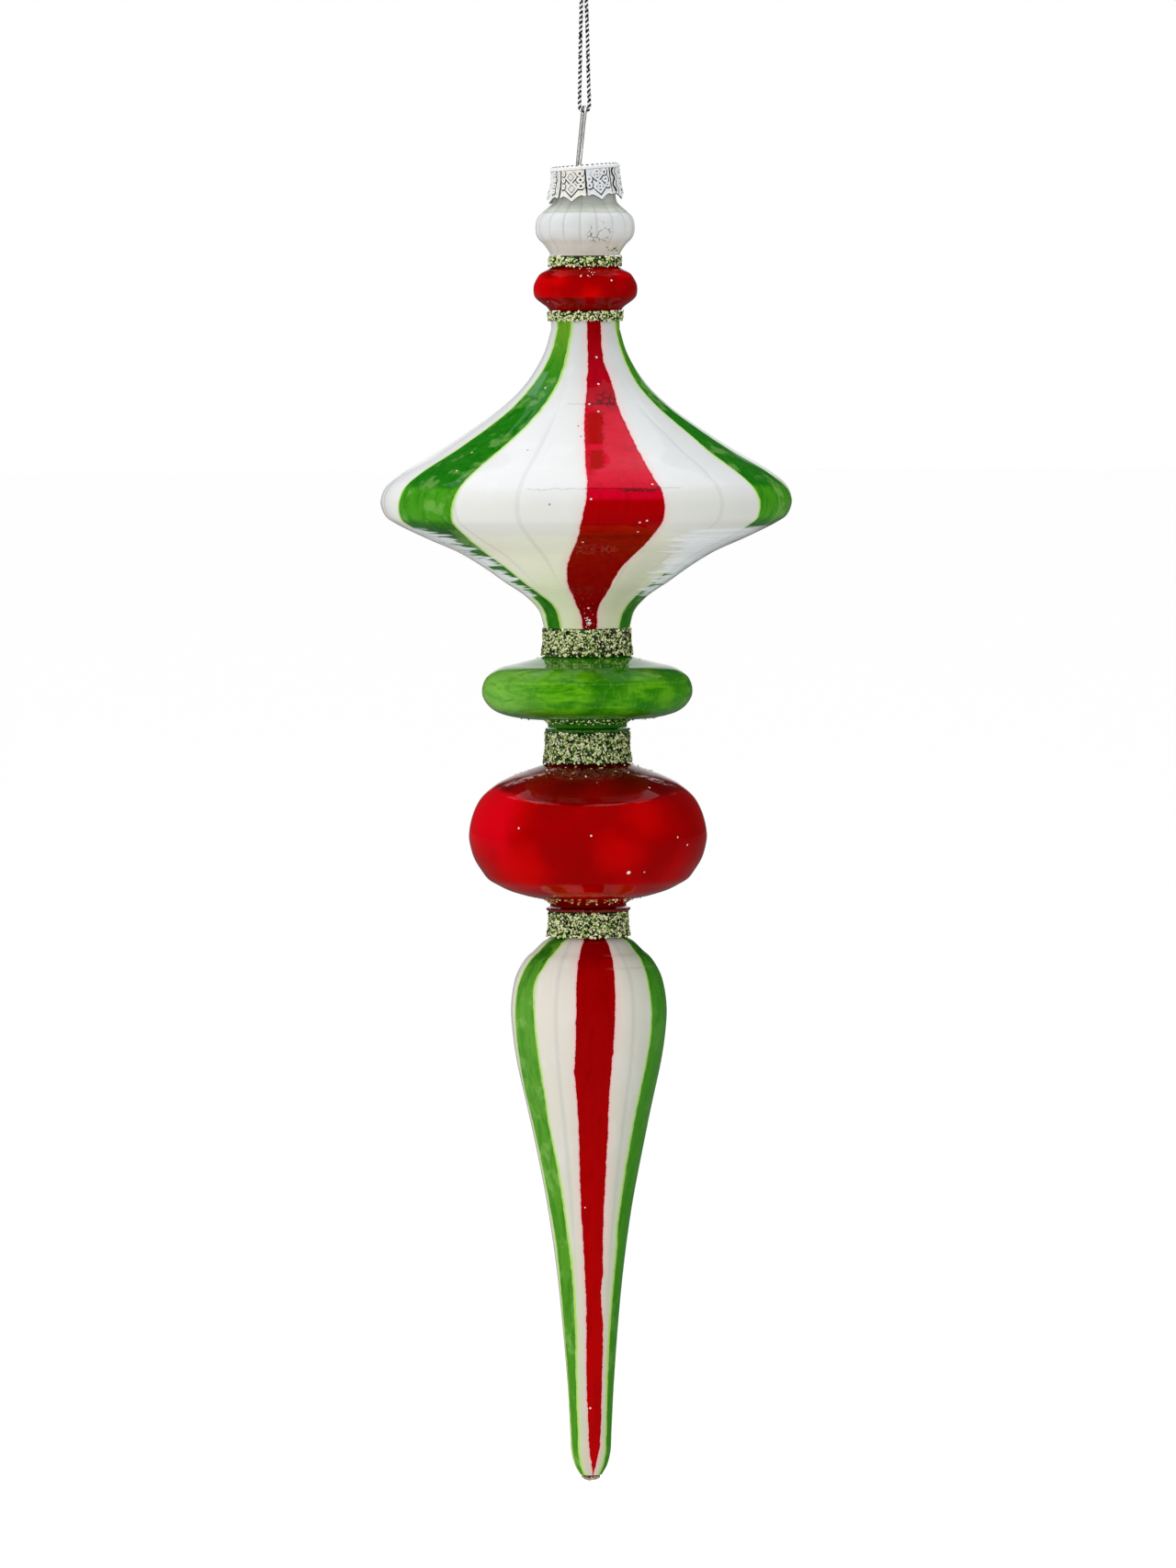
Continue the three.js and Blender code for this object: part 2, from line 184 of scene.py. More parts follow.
class Paint(Nodes):
    """The node tree of a new material. Its place is the object's own, in millimetres."""

    def __init__(self, name):
        self.material = bpy.data.materials.new(name)
        self.material.use_nodes = True
        super().__init__(self.material.node_tree)
        self.shader = self.tree.nodes["Principled BSDF"].inputs
        own = self.node("TexCoord", "Object")
        self.place = self.node("VectorMath", 0, {0: own, "Scale": 1 / MM}, operation="SCALE")

    def along(self, axis):
        return self.node("SeparateXYZ", axis, {0: self.place})

    def given(self, *names):
        """Values that were noted for the object's vertices."""
        values = [self.node("Attribute", "Fac", attribute_name=name) for name in names]
        return values if len(values) > 1 else values[0]

    def stretched(self, *factors):
        return self.node("VectorMath", 0, {0: self.place, 1: factors}, operation="MULTIPLY")

    def noise(self, scale, detail=2.0, rough=0.5, where=None, distortion=0.0):
        inputs = {"Scale": scale, "Detail": detail, "Roughness": rough, "Distortion": distortion}
        return self.node("TexNoise", 0, {"Vector": where or self.place, **inputs})

    def cells(self, scale, output="Distance", where=None, feature="F1", **more):
        inputs = {"Vector": where or self.place, "Scale": scale, **more}
        return self.node("TexVoronoi", output, inputs, feature=feature)

    def dots(self, places, radius):
        """1 inside any of a few small balls, given by their middles in millimetres."""
        whole = 0.0
        for place in places:
            far = self.node("VectorMath", "Value", {0: self.place, 1: place}, operation="DISTANCE")
            whole = far.ease(radius, 0.6 * radius).most(whole)
        return whole

    def seeds(self, scale, rare, *sizes):
        """Round bubbles in some of the cells, once for each outer size, inner size and strength."""
        chosen = self.cells(scale, "Color").over(rare)
        return [self.cells(scale).ease(*size) * chosen for size in sizes]

    def ramp(self, value, stops):
        """A colour for each value, from stops of value and colour that rise."""
        low, high = stops[0][0], stops[-1][0]
        made = self.node("ValToRGB", 0, {0: (value - low).math("DIVIDE", high - low)})
        bar = made.socket.node.color_ramp.elements
        bar[0].color, bar[1].color = (*stops[0][1], 1), (*stops[-1][1], 1)
        for at, colour in stops[1:-1]:
            bar.new((at - low) / (high - low)).color = (*colour, 1)
        return made

    def bump(self, height, strength, distance):
        inputs = {"Height": height, "Strength": strength, "Distance": distance * MM}
        self.feed(self.shader["Normal"], self.node("Bump", 0, inputs))

    def finish(self, colour, **inputs):
        for key, value in {"Base_Color": colour, **inputs}.items():
            self.feed(self.shader[key.replace("_", " ")], value)
        return self.material

    def glazed(self, colour, ior=1.2):
        """Paint behind clear glass: a soft colour under a hard, smooth coat."""
        return self.finish(
            colour, Roughness=0.5, Specular_IOR_Level=0.0, Coat_Weight=1.0, Coat_Roughness=0.015, Coat_IOR=ior,
        )


# Meshes

def catmull(way, per_span=24):
    """Points of a centripetal curve through the way, which may be of 2 or 3 numbers each."""
    way = np.asarray(way, float)
    ends = [2 * way[0] - way[1], *way, 2 * way[-1] - way[-2]]
    rows = []
    for i in range(len(way) - 1):
        p0, p1, p2, p3 = ends[i:i + 4]
        d0, d1, d2 = (math.sqrt(math.dist(a, b)) for a, b in ((p0, p1), (p1, p2), (p2, p3)))
        t1 = ((p1 - p0) / d0 - (p2 - p0) / (d0 + d1) + (p2 - p1) / d1) * d1
        t2 = ((p2 - p1) / d1 - (p3 - p1) / (d1 + d2) + (p3 - p2) / d2) * d1
        for t in np.arange(per_span) / per_span:
            rows.append(
                (2 * t**3 - 3 * t**2 + 1) * p1 + (t**3 - 2 * t**2 + t) * t1
                + (3 * t**2 - 2 * t**3) * p2 + (t**3 - t**2) * t2
            )
    rows.append(way[-1])
    return np.array(rows)


def even(points, step):
    """The same line with its points evenly spaced."""
    gaps = np.linalg.norm(np.diff(points, axis=0), axis=1)
    along = np.concatenate(([0], np.cumsum(gaps)))
    places = np.linspace(0, along[-1], max(2, round(along[-1] / step)) + 1)
    return np.stack([np.interp(places, along, points[:, k]) for k in range(points.shape[1])], axis=1)


def mesh_object(name, vertices, faces, materials, sharp=35.0, face_materials=None):
    mesh = bpy.data.meshes.new(name)
    mesh.from_pydata(vertices.tolist(), [], faces if isinstance(faces, list) else faces.tolist())
    for material in materials:
        mesh.materials.append(material)
    if face_materials is not None:
        mesh.polygons.foreach_set("material_index", face_materials)
    mesh.update()
    mesh.shade_smooth()
    mesh.set_sharp_from_angle(angle=math.radians(sharp))
    made = bpy.data.objects.new(name, mesh)
    scene.collection.objects.link(made)
    return made


def note(made, name, values):
    """Keeps a number for each vertex, for the material to read."""
    layer = made.data.attributes.new(name, "FLOAT", "POINT")
    layer.data.foreach_set("value", np.asarray(values, np.float32).ravel())


def grid_faces(rows, columns, closed):
    """Faces of a grid that closes round its columns, and round its rows where asked."""
    last = rows if closed else rows - 1
    a = np.arange(last)[:, None] * columns
    b = (np.arange(last)[:, None] + 1) % rows * columns
    here = np.arange(columns)[None, :]
    ahead = (here + 1) % columns
    return np.stack([a + here, a + ahead, b + ahead, b + here], axis=2).reshape(-1, 4)


def ring_angles(columns):
    return np.arange(columns)[None, :] * 2 * math.pi / columns


def around(radius, height, angles):
    """A point for each radius, height and angle from the front."""
    radius, height, angles = np.broadcast_arrays(radius, height, angles)
    return np.stack([radius * np.sin(angles), -radius * np.cos(angles), height], axis=-1).reshape(-1, 3)


def lathed(name, radius, height, angles, material):
    """A closed surface round the axis, with a row for each point of its outline."""
    faces = grid_faces(*np.broadcast(radius, height, angles).shape, True)
    return mesh_object(name, around(radius, height, angles) * MM, faces, [material])


def unit(rows):
    return rows / np.linalg.norm(rows, axis=1)[:, None]


def ridge(distance, width):
    return np.exp(-(distance / width) ** 2)


def ripples(angles, *waves):
    """A sum of waves round the axis, each with its height, its number of turns and where it starts."""
    return sum(height * np.sin(turns * angles + start) for height, turns, start in waves)


def piece(made, body, slot, *nodes):
    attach(made, body)
    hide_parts(*nodes)


# Cord

CORD_RADIUS = 0.45
STRAND_ROUTE = [
    (0.52, 17.3), (0.55, 21.0), (0.68, 26.5), (0.82, 32.0), (0.93, 38.0), (1.04, 43.0),
    (1.1, 45.8), (1.1, 47.05), (0.95, 47.6), (0.55, 48.0),
]
STRAND_LOWEST = 48.15
LOOP_ROUTE = [(0.52, 13.5), (0.95, 11.6), (1.9, 8.7), (2.75, 5.2), (2.6, 1.9), (1.5, 0.15)]
KNOT_DROP = 15.4
KNOT_LANES = [(-0.42, 0.95), (0.42, 0.85)]
KNOT_DEPTH = 0.95
KNOT_PLY = 0.4
KNOT_SIDES = 10
KNOT_POINTS = 200
CORD_STEP = 0.14
PLIES = 2
PLY_RADIUS = 0.3
PLY_OUT = 0.2
PLY_PITCH = 2.3
PLY_SIDES = 12


def cord_path(half, middle):
    left = [(-out, 0, -drop) for out, drop in half]
    right = [(out, 0, -drop) for out, drop in reversed(half)]
    return catmull([*left, (0, 0, -middle), *right])


def frames_along(points):
    """Unit vectors along the line and two across it, which don't twist about it."""
    along = unit(np.gradient(points, axis=0))
    side = np.empty_like(along)
    side[0] = np.cross(along[0], (0, 1, 0))
    side[0] /= np.linalg.norm(side[0])
    for i in range(1, len(points)):
        side[i] = side[i - 1] - along[i] * (side[i - 1] @ along[i])
        side[i] /= np.linalg.norm(side[i])
    return along, side, np.cross(along, side)


def tube_mesh(points, radius, sides):
    """Vertices and faces of a round tube with flat ends."""
    _, side, other = frames_along(points)
    angles = ring_angles(sides)[:, :, None]
    ring = np.cos(angles) * side[:, None] + np.sin(angles) * other[:, None]
    vertices = (points[:, None] + radius * ring).reshape(-1, 3)
    faces = grid_faces(len(points), sides, False).tolist()
    faces.append(list(range(sides))[::-1])
    faces.append(list(range(len(vertices) - sides, len(vertices))))
    return vertices, faces


def corded(name, plies, material):
    """One object of several tubes, each given by its vertices in millimetres and its faces."""
    vertices, faces = [], []
    for ply_vertices, ply_faces in plies:
        start = sum(len(v) for v in vertices)
        faces += [[start + v for v in face] for face in ply_faces]
        vertices.append(ply_vertices)
    return mesh_object(name, np.concatenate(vertices) * MM, faces, [material], sharp=60)


def twisted_cord(name, half, middle, material):
    centre = even(cord_path(half, middle), CORD_STEP)
    _, side, other = frames_along(centre)
    length = np.arange(len(centre)) * np.linalg.norm(centre[1] - centre[0])
    plies, standing = [], []
    for ply in range(PLIES):
        turn = 2 * math.pi * (length / PLY_PITCH + ply / PLIES)[:, None]
        plies.append(tube_mesh(centre + PLY_OUT * (np.cos(turn) * side + np.sin(turn) * other), PLY_RADIUS, PLY_SIDES))
        out = np.linalg.norm(plies[-1][0] - np.repeat(centre, PLY_SIDES, axis=0), axis=1)
        standing.append(out / (PLY_OUT + PLY_RADIUS))
    made = corded(name, plies, material)
    note(made, "standing", np.concatenate(standing))
    return made, centre * MM


def make_knot(yarn):
    """An overhand knot, drawn tight: the doubled cord wound round itself, with its ends tucked in."""
    t = np.linspace(0, 2 * math.pi, KNOT_POINTS)[:-1]
    plies = []
    for lane, width in KNOT_LANES:
        wide = width * (1 + 0.25 * np.cos(3 * t))
        lifted = lane - KNOT_DROP + 0.5 * np.sin(3 * t)
        line = np.stack([wide * np.cos(2 * t), wide * np.sin(2 * t) * KNOT_DEPTH, lifted], axis=1)
        plies.append(tube_mesh(line, KNOT_PLY, KNOT_SIDES))
    made = corded("tight_knot", plies, yarn)
    note(made, "standing", 0.9 + 0.2 * np.sin(np.arange(len(made.data.vertices)) * 0.7))
    return made


def silver_yarn():
    """Bright metal thread, with painted shade between its plies and dark patches here and there."""
    paint = Paint("silver_yarn")
    fibre = paint.noise(9.0, 3.0, 0.6)
    colour = paint.mix(fibre.ease(0.3, 0.46), (0.5, 0.5, 0.49), (1.0, 1.0, 0.98)).painted(
        (paint.noise(1.5, 2.0, 0.6).ease(0.58, 0.62), (0.01, 0.01, 0.01)),
        (paint.given("standing").ease(0.95, 0.88), (0.004, 0.004, 0.004)),
    )
    paint.bump(fibre, 0.6, 0.06)
    return paint.finish(colour, Roughness=0.35)


def make_cords():
    yarn = silver_yarn()
    strands, strand_path = twisted_cord("twisted_strands", STRAND_ROUTE, STRAND_LOWEST, yarn)
    piece(strands, "strands", "silver_cord", "cord_strands")
    loop, loop_path = twisted_cord("twisted_loop", LOOP_ROUTE, -CORD_RADIUS, yarn)
    piece(loop, "hanging_loop", "silver_cord", "cord_loop")
    knot = make_knot(yarn)
    piece(knot, "knot", "silver_cord", "cord_knot")
    for cord, path, (out, drop), lay in (
        (strands, strand_path, STRAND_ROUTE[0], "taut"),
        (loop, loop_path, LOOP_ROUTE[0], "hanging"),
    ):
        -out * MM
        -drop * MM


# Glass sections, from the top down. Shapes give shares of the height and of the change in radius.

WALL = 1.1
FIT = 0.3
CEMENT = 0.4
GORES = 18
SECTIONS = [
    dict(
        name="crown_bulb", rim=-61.145, collar=7.1, collar_length=6.3, belly=11.5, foot=8.1, foot_length=0.5,
        rise=7.45, fall=5.95, stub=3.6, crease=-6.0,
        up=[(0.22, 0.09), (0.49, 0.57), (0.66, 0.86), (0.83, 0.975)],
        down=[(0.21, 0.03), (0.43, 0.2), (0.64, 0.56), (0.82, 0.8)],
    ),
    dict(
        name="small_red_bulb", rim=-82.345, collar=7.7, collar_length=1.7, belly=12.0, foot=8.4, foot_length=0.2,
        rise=5.3, fall=4.45, stub=4.0, crease=None,
        up=[(0.12, 0.31), (0.28, 0.63), (0.52, 0.84), (0.76, 0.97)],
        down=[(0.29, 0.06), (0.48, 0.235), (0.67, 0.53), (0.86, 0.85)],
    ),
    dict(
        name="striped_bulb", rim=-94.995, collar=7.9, collar_length=3.3, belly=47.55, foot=10.0, foot_length=0.4,
        rise=39.6, fall=28.95, stub=6.0, crease=0.7,
        up=[(0.14, 0.043), (0.312, 0.147), (0.441, 0.276), (0.57, 0.453), (0.7, 0.654), (0.828, 0.871), (0.914, 0.97)],
        down=[
            (0.118, 0.031), (0.176, 0.093), (0.294, 0.278), (0.412, 0.482), (0.53, 0.632), (0.647, 0.759),
            (0.765, 0.892), (0.88, 0.972),
        ],
    ),
    dict(
        name="green_disc", rim=-168.245, collar=9.6, collar_length=5.5, belly=24.35, foot=9.15, foot_length=0.85,
        rise=8.0, fall=7.65, stub=6.5, crease=None,
        up=[(0.1, 0.19), (0.227, 0.467), (0.307, 0.661), (0.42, 0.8), (0.6, 0.925), (0.79, 0.98)],
        down=[(0.2, 0.014), (0.444, 0.091), (0.62, 0.2), (0.73, 0.34), (0.81, 0.52), (0.855, 0.74), (0.885, 0.94)],
    ),
    dict(
        name="red_oval_bulb", rim=-191.545, collar=9.15, collar_length=7.0, belly=27.55, foot=8.8, foot_length=0.65,
        rise=17.0, fall=15.55, stub=5.5, crease=None,
        up=[(0.05, 0.13), (0.1125, 0.295), (0.1875, 0.474), (0.2875, 0.65), (0.45, 0.827), (0.6, 0.913), (0.8, 0.975)],
        down=[
            (0.16, 0.02), (0.33, 0.065), (0.5, 0.15), (0.63, 0.233), (0.72, 0.355), (0.8, 0.49), (0.88, 0.705),
            (0.94, 0.92),
        ],
    ),
    dict(
        name="striped_drop", rim=-233.045, collar=8.5, collar_length=5.75, belly=18.05, foot=2.55, foot_length=0.0,
        rise=16.6, fall=108.5, stub=None, crease=-5.0,
        up=[(0.06, 0.19), (0.19, 0.424), (0.28, 0.6), (0.487, 0.826), (0.7, 0.94)],
        down=[
            (0.047, 0.018), (0.11, 0.08), (0.235, 0.272), (0.392, 0.492), (0.486, 0.595), (0.58, 0.677),
            (0.706, 0.76), (0.82, 0.82), (0.91, 0.85), (0.95, 0.865), (0.98, 0.92),
        ],
    ),
]
TIP_HOLE = 1.5
TIP_WALL = 1.6
LIP = 0.25
COLLAR_ROWS = 7
COLLAR_TOP = 0.6
LINING_EVERY = 6
GROOVE_DEPTH = 0.11
GROOVE_WIDTH = 0.9
WAVES = 0.06
FOOT_WAVES = 0.3
FIRST_SEED = 3
FADE_ROWS = 12


def foot_height(section):
    return section["rim"] - section["collar_length"] - section["rise"] - section["fall"]


def swell(section):
    """The outline from the end of the collar to the foot, from the top down."""
    thin, wide, low = section["collar"], section["belly"], section["foot"]
    rise, fall = section["rise"], section["fall"]
    start = section["rim"] - section["collar_length"]
    belly = start - rise
    return catmull([
        (thin, start),
        *((thin + (wide - thin) * out, start - rise * down) for down, out in section["up"]),
        (wide, belly),
        *((wide + (low - wide) * out, belly - fall * down) for down, out in section["down"]),
        (low, belly - fall),
    ])


def section_outline(section, step):
    """The whole outline of a section's wall, closed on itself, and how many of its rows are in the swell."""
    outside = even(swell(section), step)
    along = unit(np.gradient(outside, axis=0))
    inside = outside + WALL * np.stack([along[:, 1], -along[:, 0]], axis=1)
    rim, collar = section["rim"], section["collar"]
    bore = collar - WALL
    top = [(collar, rim - LIP), (collar - LIP, rim), (bore + LIP, rim), (bore, rim - LIP)]
    if section["stub"] is None:
        hole, floor = TIP_HOLE, outside[-1, 1] + TIP_WALL
        low = [(hole, outside[-1, 1])]
    else:
        stub = SECTIONS[SECTIONS.index(section) + 1]["collar"] - WALL - 2 * FIT - CEMENT
        shoulder = outside[-1, 1] - section["foot_length"]
        end = shoulder - section["stub"]
        hole, floor = stub - WALL, shoulder + WALL
        low = [(outside[-1, 0], shoulder), (stub, shoulder), (stub, end), (hole, end)]
    lining = inside[(inside[:, 1] > floor) & (inside[:, 0] > hole)][::LINING_EVERY]
    low.append((hole, floor))
    if section["stub"] is not None:
        low.append((lining[-1][0], floor))
    upper = [(collar, height) for height in np.linspace(rim - COLLAR_TOP, outside[0, 1], COLLAR_ROWS + 1)[:-1]]
    return np.array([*upper, *outside, *low, *lining[::-1], *top[::-1]]), len(outside)


def hand_blown(section, height, angles):
    """Small changes of radius, in millimetres, from the slow waves of hot glass."""
    seed = np.random.default_rng(SECTIONS.index(section) + FIRST_SEED)
    change = np.zeros(np.broadcast(height, angles).shape)
    for turns in (2, 3, 5, 7, 9):
        pitch, start = seed.uniform(0.05, 0.28), seed.uniform(0, 6.28)
        change += WAVES / 3 * np.sin(turns * angles + pitch * height * seed.choice([-1, 1]) + start)
    return change


def groove(section, angles, radius):
    """Distance in millimetres along the surface to the nearest line between two gores."""
    pitch = 2 * math.pi / GORES
    off = (angles - math.radians(section["crease"]) + pitch / 2) % pitch - pitch / 2
    return np.abs(off) * radius


def glass_object(section, columns, step, material):
    rows, count = section_outline(section, step)
    angles = ring_angles(columns)
    radius, height = np.repeat(rows[:, :1], columns, axis=1), rows[:, 1:]
    outer = slice(COLLAR_ROWS, COLLAR_ROWS + count)
    share = np.clip((radius[outer] - section["foot"]) / (section["belly"] - section["foot"]), 0, 1)
    growing = np.minimum(1, np.arange(count) / FADE_ROWS)[:, None]
    fade = growing * growing[::-1]
    radius[outer] += hand_blown(section, height[outer], angles) * fade * (FOOT_WAVES + (1 - FOOT_WAVES) * share)
    if section["crease"] is not None:
        radius[outer] -= GROOVE_DEPTH * fade * ridge(groove(section, angles, radius[outer]), GROOVE_WIDTH)
    return lathed("blown_" + section["name"], radius, height, angles, material), rows, angles


# Stripes: the left and right edge of each, as heights and angles

BULB_RED = (
    [(-98, 3), (-105, 3.2), (-112, 0.6), (-118, -0.8), (-126, -0.4), (-134, 0.3), (-140, -1), (-146, -3.2),
     (-149.5, -6.8), (-152.6, -10.3), (-156, -12.7), (-159, -12.7), (-162, -10.4), (-165, -6.3), (-168, -5)],
    [(-98, 26), (-106, 23.5), (-109, 25.2), (-112, 25.4), (-115, 23.3), (-120, 22), (-131.6, 20.7), (-134.6, 21.7),
     (-146, 22), (-149.5, 21.5), (-152.6, 18.9), (-156, 17.4), (-159, 17), (-162, 12.8), (-168, 13.2)],
)
BULB_GREEN = (
    [(-98, -54), (-105, -56), (-112, -60.8), (-118, -60.5), (-124, -62), (-132, -63.6), (-138, -64.6), (-144, -68),
     (-150, -69), (-156, -64), (-160, -61), (-168, -64.5)],
    [(-98, -25), (-103, -27), (-108.7, -27.7), (-114.5, -30.8), (-120, -33.4), (-126, -37), (-137.4, -40),
     (-143.4, -42.7), (-147, -46.2), (-150, -50), (-156, -48.5), (-159, -45.5), (-162, -40), (-168, -37)],
)
BULB_GREEN_RIGHT = (
    [(-98, 62), (-103, 63.3), (-109, 60.2), (-121, 58.2), (-129, 54.8), (-138, 56.7), (-144, 58), (-150, 57),
     (-156, 53.5), (-162, 50.5), (-168, 47)],
    [(-98, 88), (-106, 85), (-110, 79), (-118, 77), (-127, 76), (-132.5, 77.5), (-136, 83), (-141, 85), (-150, 82),
     (-168, 78)],
)
DROP_RED = (
    [(-238, -6), (-244, -9.4), (-254, -9.2), (-264, -10.3), (-269, -11.8), (-280, -10.5), (-300, -11.7), (-310, -10),
     (-320, -8.2), (-331, -8.3), (-342, -10), (-352, -6.7), (-358, -4), (-363.2, 7)],
    [(-238, 27), (-244, 22.7), (-249, 20.7), (-264, 18.7), (-274, 17.8), (-285, 18.8), (-300, 19.3), (-311, 20.9),
     (-316, 22.3), (-321, 20.5), (-326, 23.8), (-331, 27.6), (-342, 28.8), (-352, 28.8), (-358, 24), (-363.2, 11)],
)
DROP_GREEN = (
    [(-238, -64), (-250, -69.5), (-260, -70.5), (-270, -72.5), (-275, -73.5), (-285, -71.5), (-300, -70),
     (-311, -67.5), (-321, -69.7), (-332, -71.3), (-347, -72), (-362, -67)],
    [(-238, -34), (-244, -41.6), (-249, -47), (-254, -45.4), (-275, -43), (-280, -44), (-290, -40.3), (-306, -36.5),
     (-316, -32.8), (-332, -33.2), (-337, -36.3), (-352, -39), (-362, -38)],
)
DROP_GREEN_RIGHT = (
    [(-238, 64), (-244.5, 56.3), (-249.5, 53.8), (-260, 54.2), (-270, 51.4), (-280, 49), (-300, 45.5), (-306, 44.7),
     (-311, 47.4), (-332, 44.4), (-352, 47.8), (-362, 46)],
    [(-238, 88), (-260, 87), (-300, 85), (-362, 80)],
)

# The red stripe comes three times. Of the three green ones, that at the right of the front has edges of its own.

EDGES = {
    "striped_bulb": (BULB_RED, BULB_GREEN, BULB_GREEN_RIGHT),
    "striped_drop": (DROP_RED, DROP_GREEN, DROP_GREEN_RIGHT),
}
STRIPES = {
    name: {"red": [(red, 0), (red, 120), (red, 240)], "green": [(green, 0), (right, 0), (green, 240)]}
    for name, (red, green, right) in EDGES.items()
}


def edge_at(edge, height):
    smooth = catmull(sorted(edge), 8)
    return np.interp(height, smooth[:, 0], smooth[:, 1])


def stripe_depth(stripes, radius, height, angles):
    """How far inside the nearest stripe each point is, in millimetres, and below 0 outside."""
    deepest = np.full(np.broadcast(height, angles).shape, -99.0)
    for (left, right), turn in stripes:
        low, high = edge_at(left, height) + turn, edge_at(right, height) + turn
        off = (np.degrees(angles) - (low + high) / 2 + 180) % 360 - 180
        deepest = np.maximum(deepest, ((high - low) / 2 - np.abs(off)) * math.pi / 180 * radius)
    return deepest


# Colours of the stripes, as heights and tones. The bands and steps in them are painted light and shade: a lighter band
# where the lamps reflect, thin dark lines at its edges, and shade that changes with height

WHITE_TONES = {
    "striped_bulb": [
        (-168, (0.76, 0.8, 0.5)), (-160, (0.82, 0.86, 0.58)), (-150, (0.92, 0.9, 0.7)), (-145, (0.88, 0.87, 0.71)),
        (-144.4, (0.84, 0.84, 0.74)), (-137, (0.8, 0.8, 0.75)), (-133, (0.78, 0.78, 0.76)), (-98, (0.68, 0.7, 0.68)),
    ],
    "striped_drop": [
        (-363, (0.56, 0.58, 0.4)), (-330, (0.64, 0.64, 0.5)), (-300, (0.7, 0.68, 0.56)), (-255, (0.78, 0.73, 0.63)),
        (-238, (0.7, 0.68, 0.58)),
    ],
}
RED_TONES = {
    "striped_bulb": [
        (-168, (0.24, 0, 0.001)), (-160, (0.26, 0, 0.001)), (-146, (0.3, 0, 0.001)), (-144.9, (0.22, 0, 0.0005)),
        (-144.4, (0.36, 0, 0.001)), (-136.7, (0.43, 0, 0.001)), (-136.2, (0.62, 0.001, 0.016)),
        (-134.2, (0.64, 0.001, 0.02)), (-118, (0.62, 0.001, 0.02)), (-114, (0.46, 0.001, 0.012)),
        (-107, (0.42, 0.002, 0.009)), (-98, (0.32, 0.0005, 0.002)),
    ],
    "striped_drop": [
        (-363, (0.46, 0.001, 0.002)), (-340, (0.46, 0.0005, 0.001)), (-300, (0.42, 0, 0.0005)),
        (-255, (0.35, 0, 0.0005)), (-246, (0.34, 0, 0.0005)), (-238, (0.2, 0, 0.0005)),
    ],
}
GREEN_TONES = {
    "striped_bulb": [
        (-168, (0.03, 0.2, 0.008)), (-146, (0.035, 0.19, 0.012)), (-144.6, (0.008, 0.09, 0.003)),
        (-142.2, (0.03, 0.2, 0.005)), (-141.2, (0.07, 0.32, 0.014)), (-134.6, (0.055, 0.29, 0.01)),
        (-133.6, (0.012, 0.17, 0.004)), (-115, (0.012, 0.18, 0.004)), (-107, (0.05, 0.26, 0.012)),
        (-98, (0.14, 0.35, 0.02)),
    ],
    "striped_drop": [
        (-363, (0.07, 0.28, 0.015)), (-300, (0.09, 0.31, 0.02)), (-255, (0.12, 0.35, 0.035)),
        (-238, (0.06, 0.22, 0.012)),
    ],
}


def on_surface(section, marks):
    """Places on a section's outside, from angles and heights."""
    shape = swell(section)[::-1]
    places = []
    for angle, height in marks:
        radius, turn = np.interp(height, shape[:, 1], shape[:, 0]), math.radians(angle)
        places.append((radius * math.sin(turn), -radius * math.cos(turn), height))
    return places


def striped_paint(section):
    """White enamel with ribs, red and green stripes, and the thin lines where the colours meet. The grey lines along
    the ribs are painted shade in their grooves, and the white is painted darker towards the right side as shade.
    """
    name = section["name"]
    paint = Paint("striped_glass_" + name)
    height = paint.along("Z")
    side, rib, red, green = paint.given("side", "rib", "red", "green")
    waver = paint.noise(0.45, 3.0, 0.6).centred(0.7)
    fringe = paint.noise(2.2, 2.0, 0.6).centred(0.3)
    milk = paint.noise(0.2, 3.0, 0.5, paint.stretched(1.0, 1.0, 0.4), 0.5)
    streaks = paint.noise(0.5, 4.0, 0.65, paint.stretched(1.0, 1.0, 0.22), 0.6)
    blots = paint.noise(0.16, 3.0, 0.6)
    red, green = red + waver + fringe, green + waver

    # Painted shade: grey lines in the rib grooves, and the white darker towards the right side
    white_shade = paint.ramp(height + paint.noise(0.09, 3.0).centred(6.0), WHITE_TONES[name]).painted(
        (milk.ease(0.52, 0.7, 0.16), (0.86, 0.88, 0.92)),
        (rib.ease(0.9, 0.1, 0.24), (0.42, 0.44, 0.44)),
    ).filtered(side.ease(0.1, 0.9, 0.6), (0.84, 0.87, 0.86))
    green_shade = paint.ramp(height + waver, GREEN_TONES[name])
    green_shade = green_shade.filtered(streaks.ease(0.42, 0.66, 0.75), (0.35, 0.68, 0.4))
    green_shade = green_shade.painted((blots.ease(0.52, 0.64, 0.176), (0.5, 0.8, 0.25)))
    red_shade = paint.ramp(height + fringe * 0.6, RED_TONES[name])
    red_shade = red_shade.filtered(streaks.ease(0.42, 0.72, 0.8), (0.74, 0.5, 0.6))
    red_shade = red_shade.painted((red.ease(0.3, 0.1, 0.5), (0.12, 0.0, 0.001)))

    return paint, white_shade.painted(
        (red.ease(-2.6, -0.1) * blots.ease(0.3, 0.7, 0.5, start=0.1), (0.9, 0.56, 0.54)),
        (red.ease(-0.42, -0.15, 0.75), (0.92, 0.4, 0.4)),
        (green.ease(-1.6, -0.1, 0.6), (0.56, 0.74, 0.4)),
        (green.ease(-0.5, -0.32) * green.ease(0.14, 0.02), (0.44, 0.68, 0.1)),
        (green.ease(0.02, 0.2), green_shade),
        (red.ease(-0.06, 0.06), red_shade),
    )


# Flaws in the glass, as angle and height: bubbles and dark specks. Cracks have a height, their ends and a strength,
# and a crazed patch has its middle.

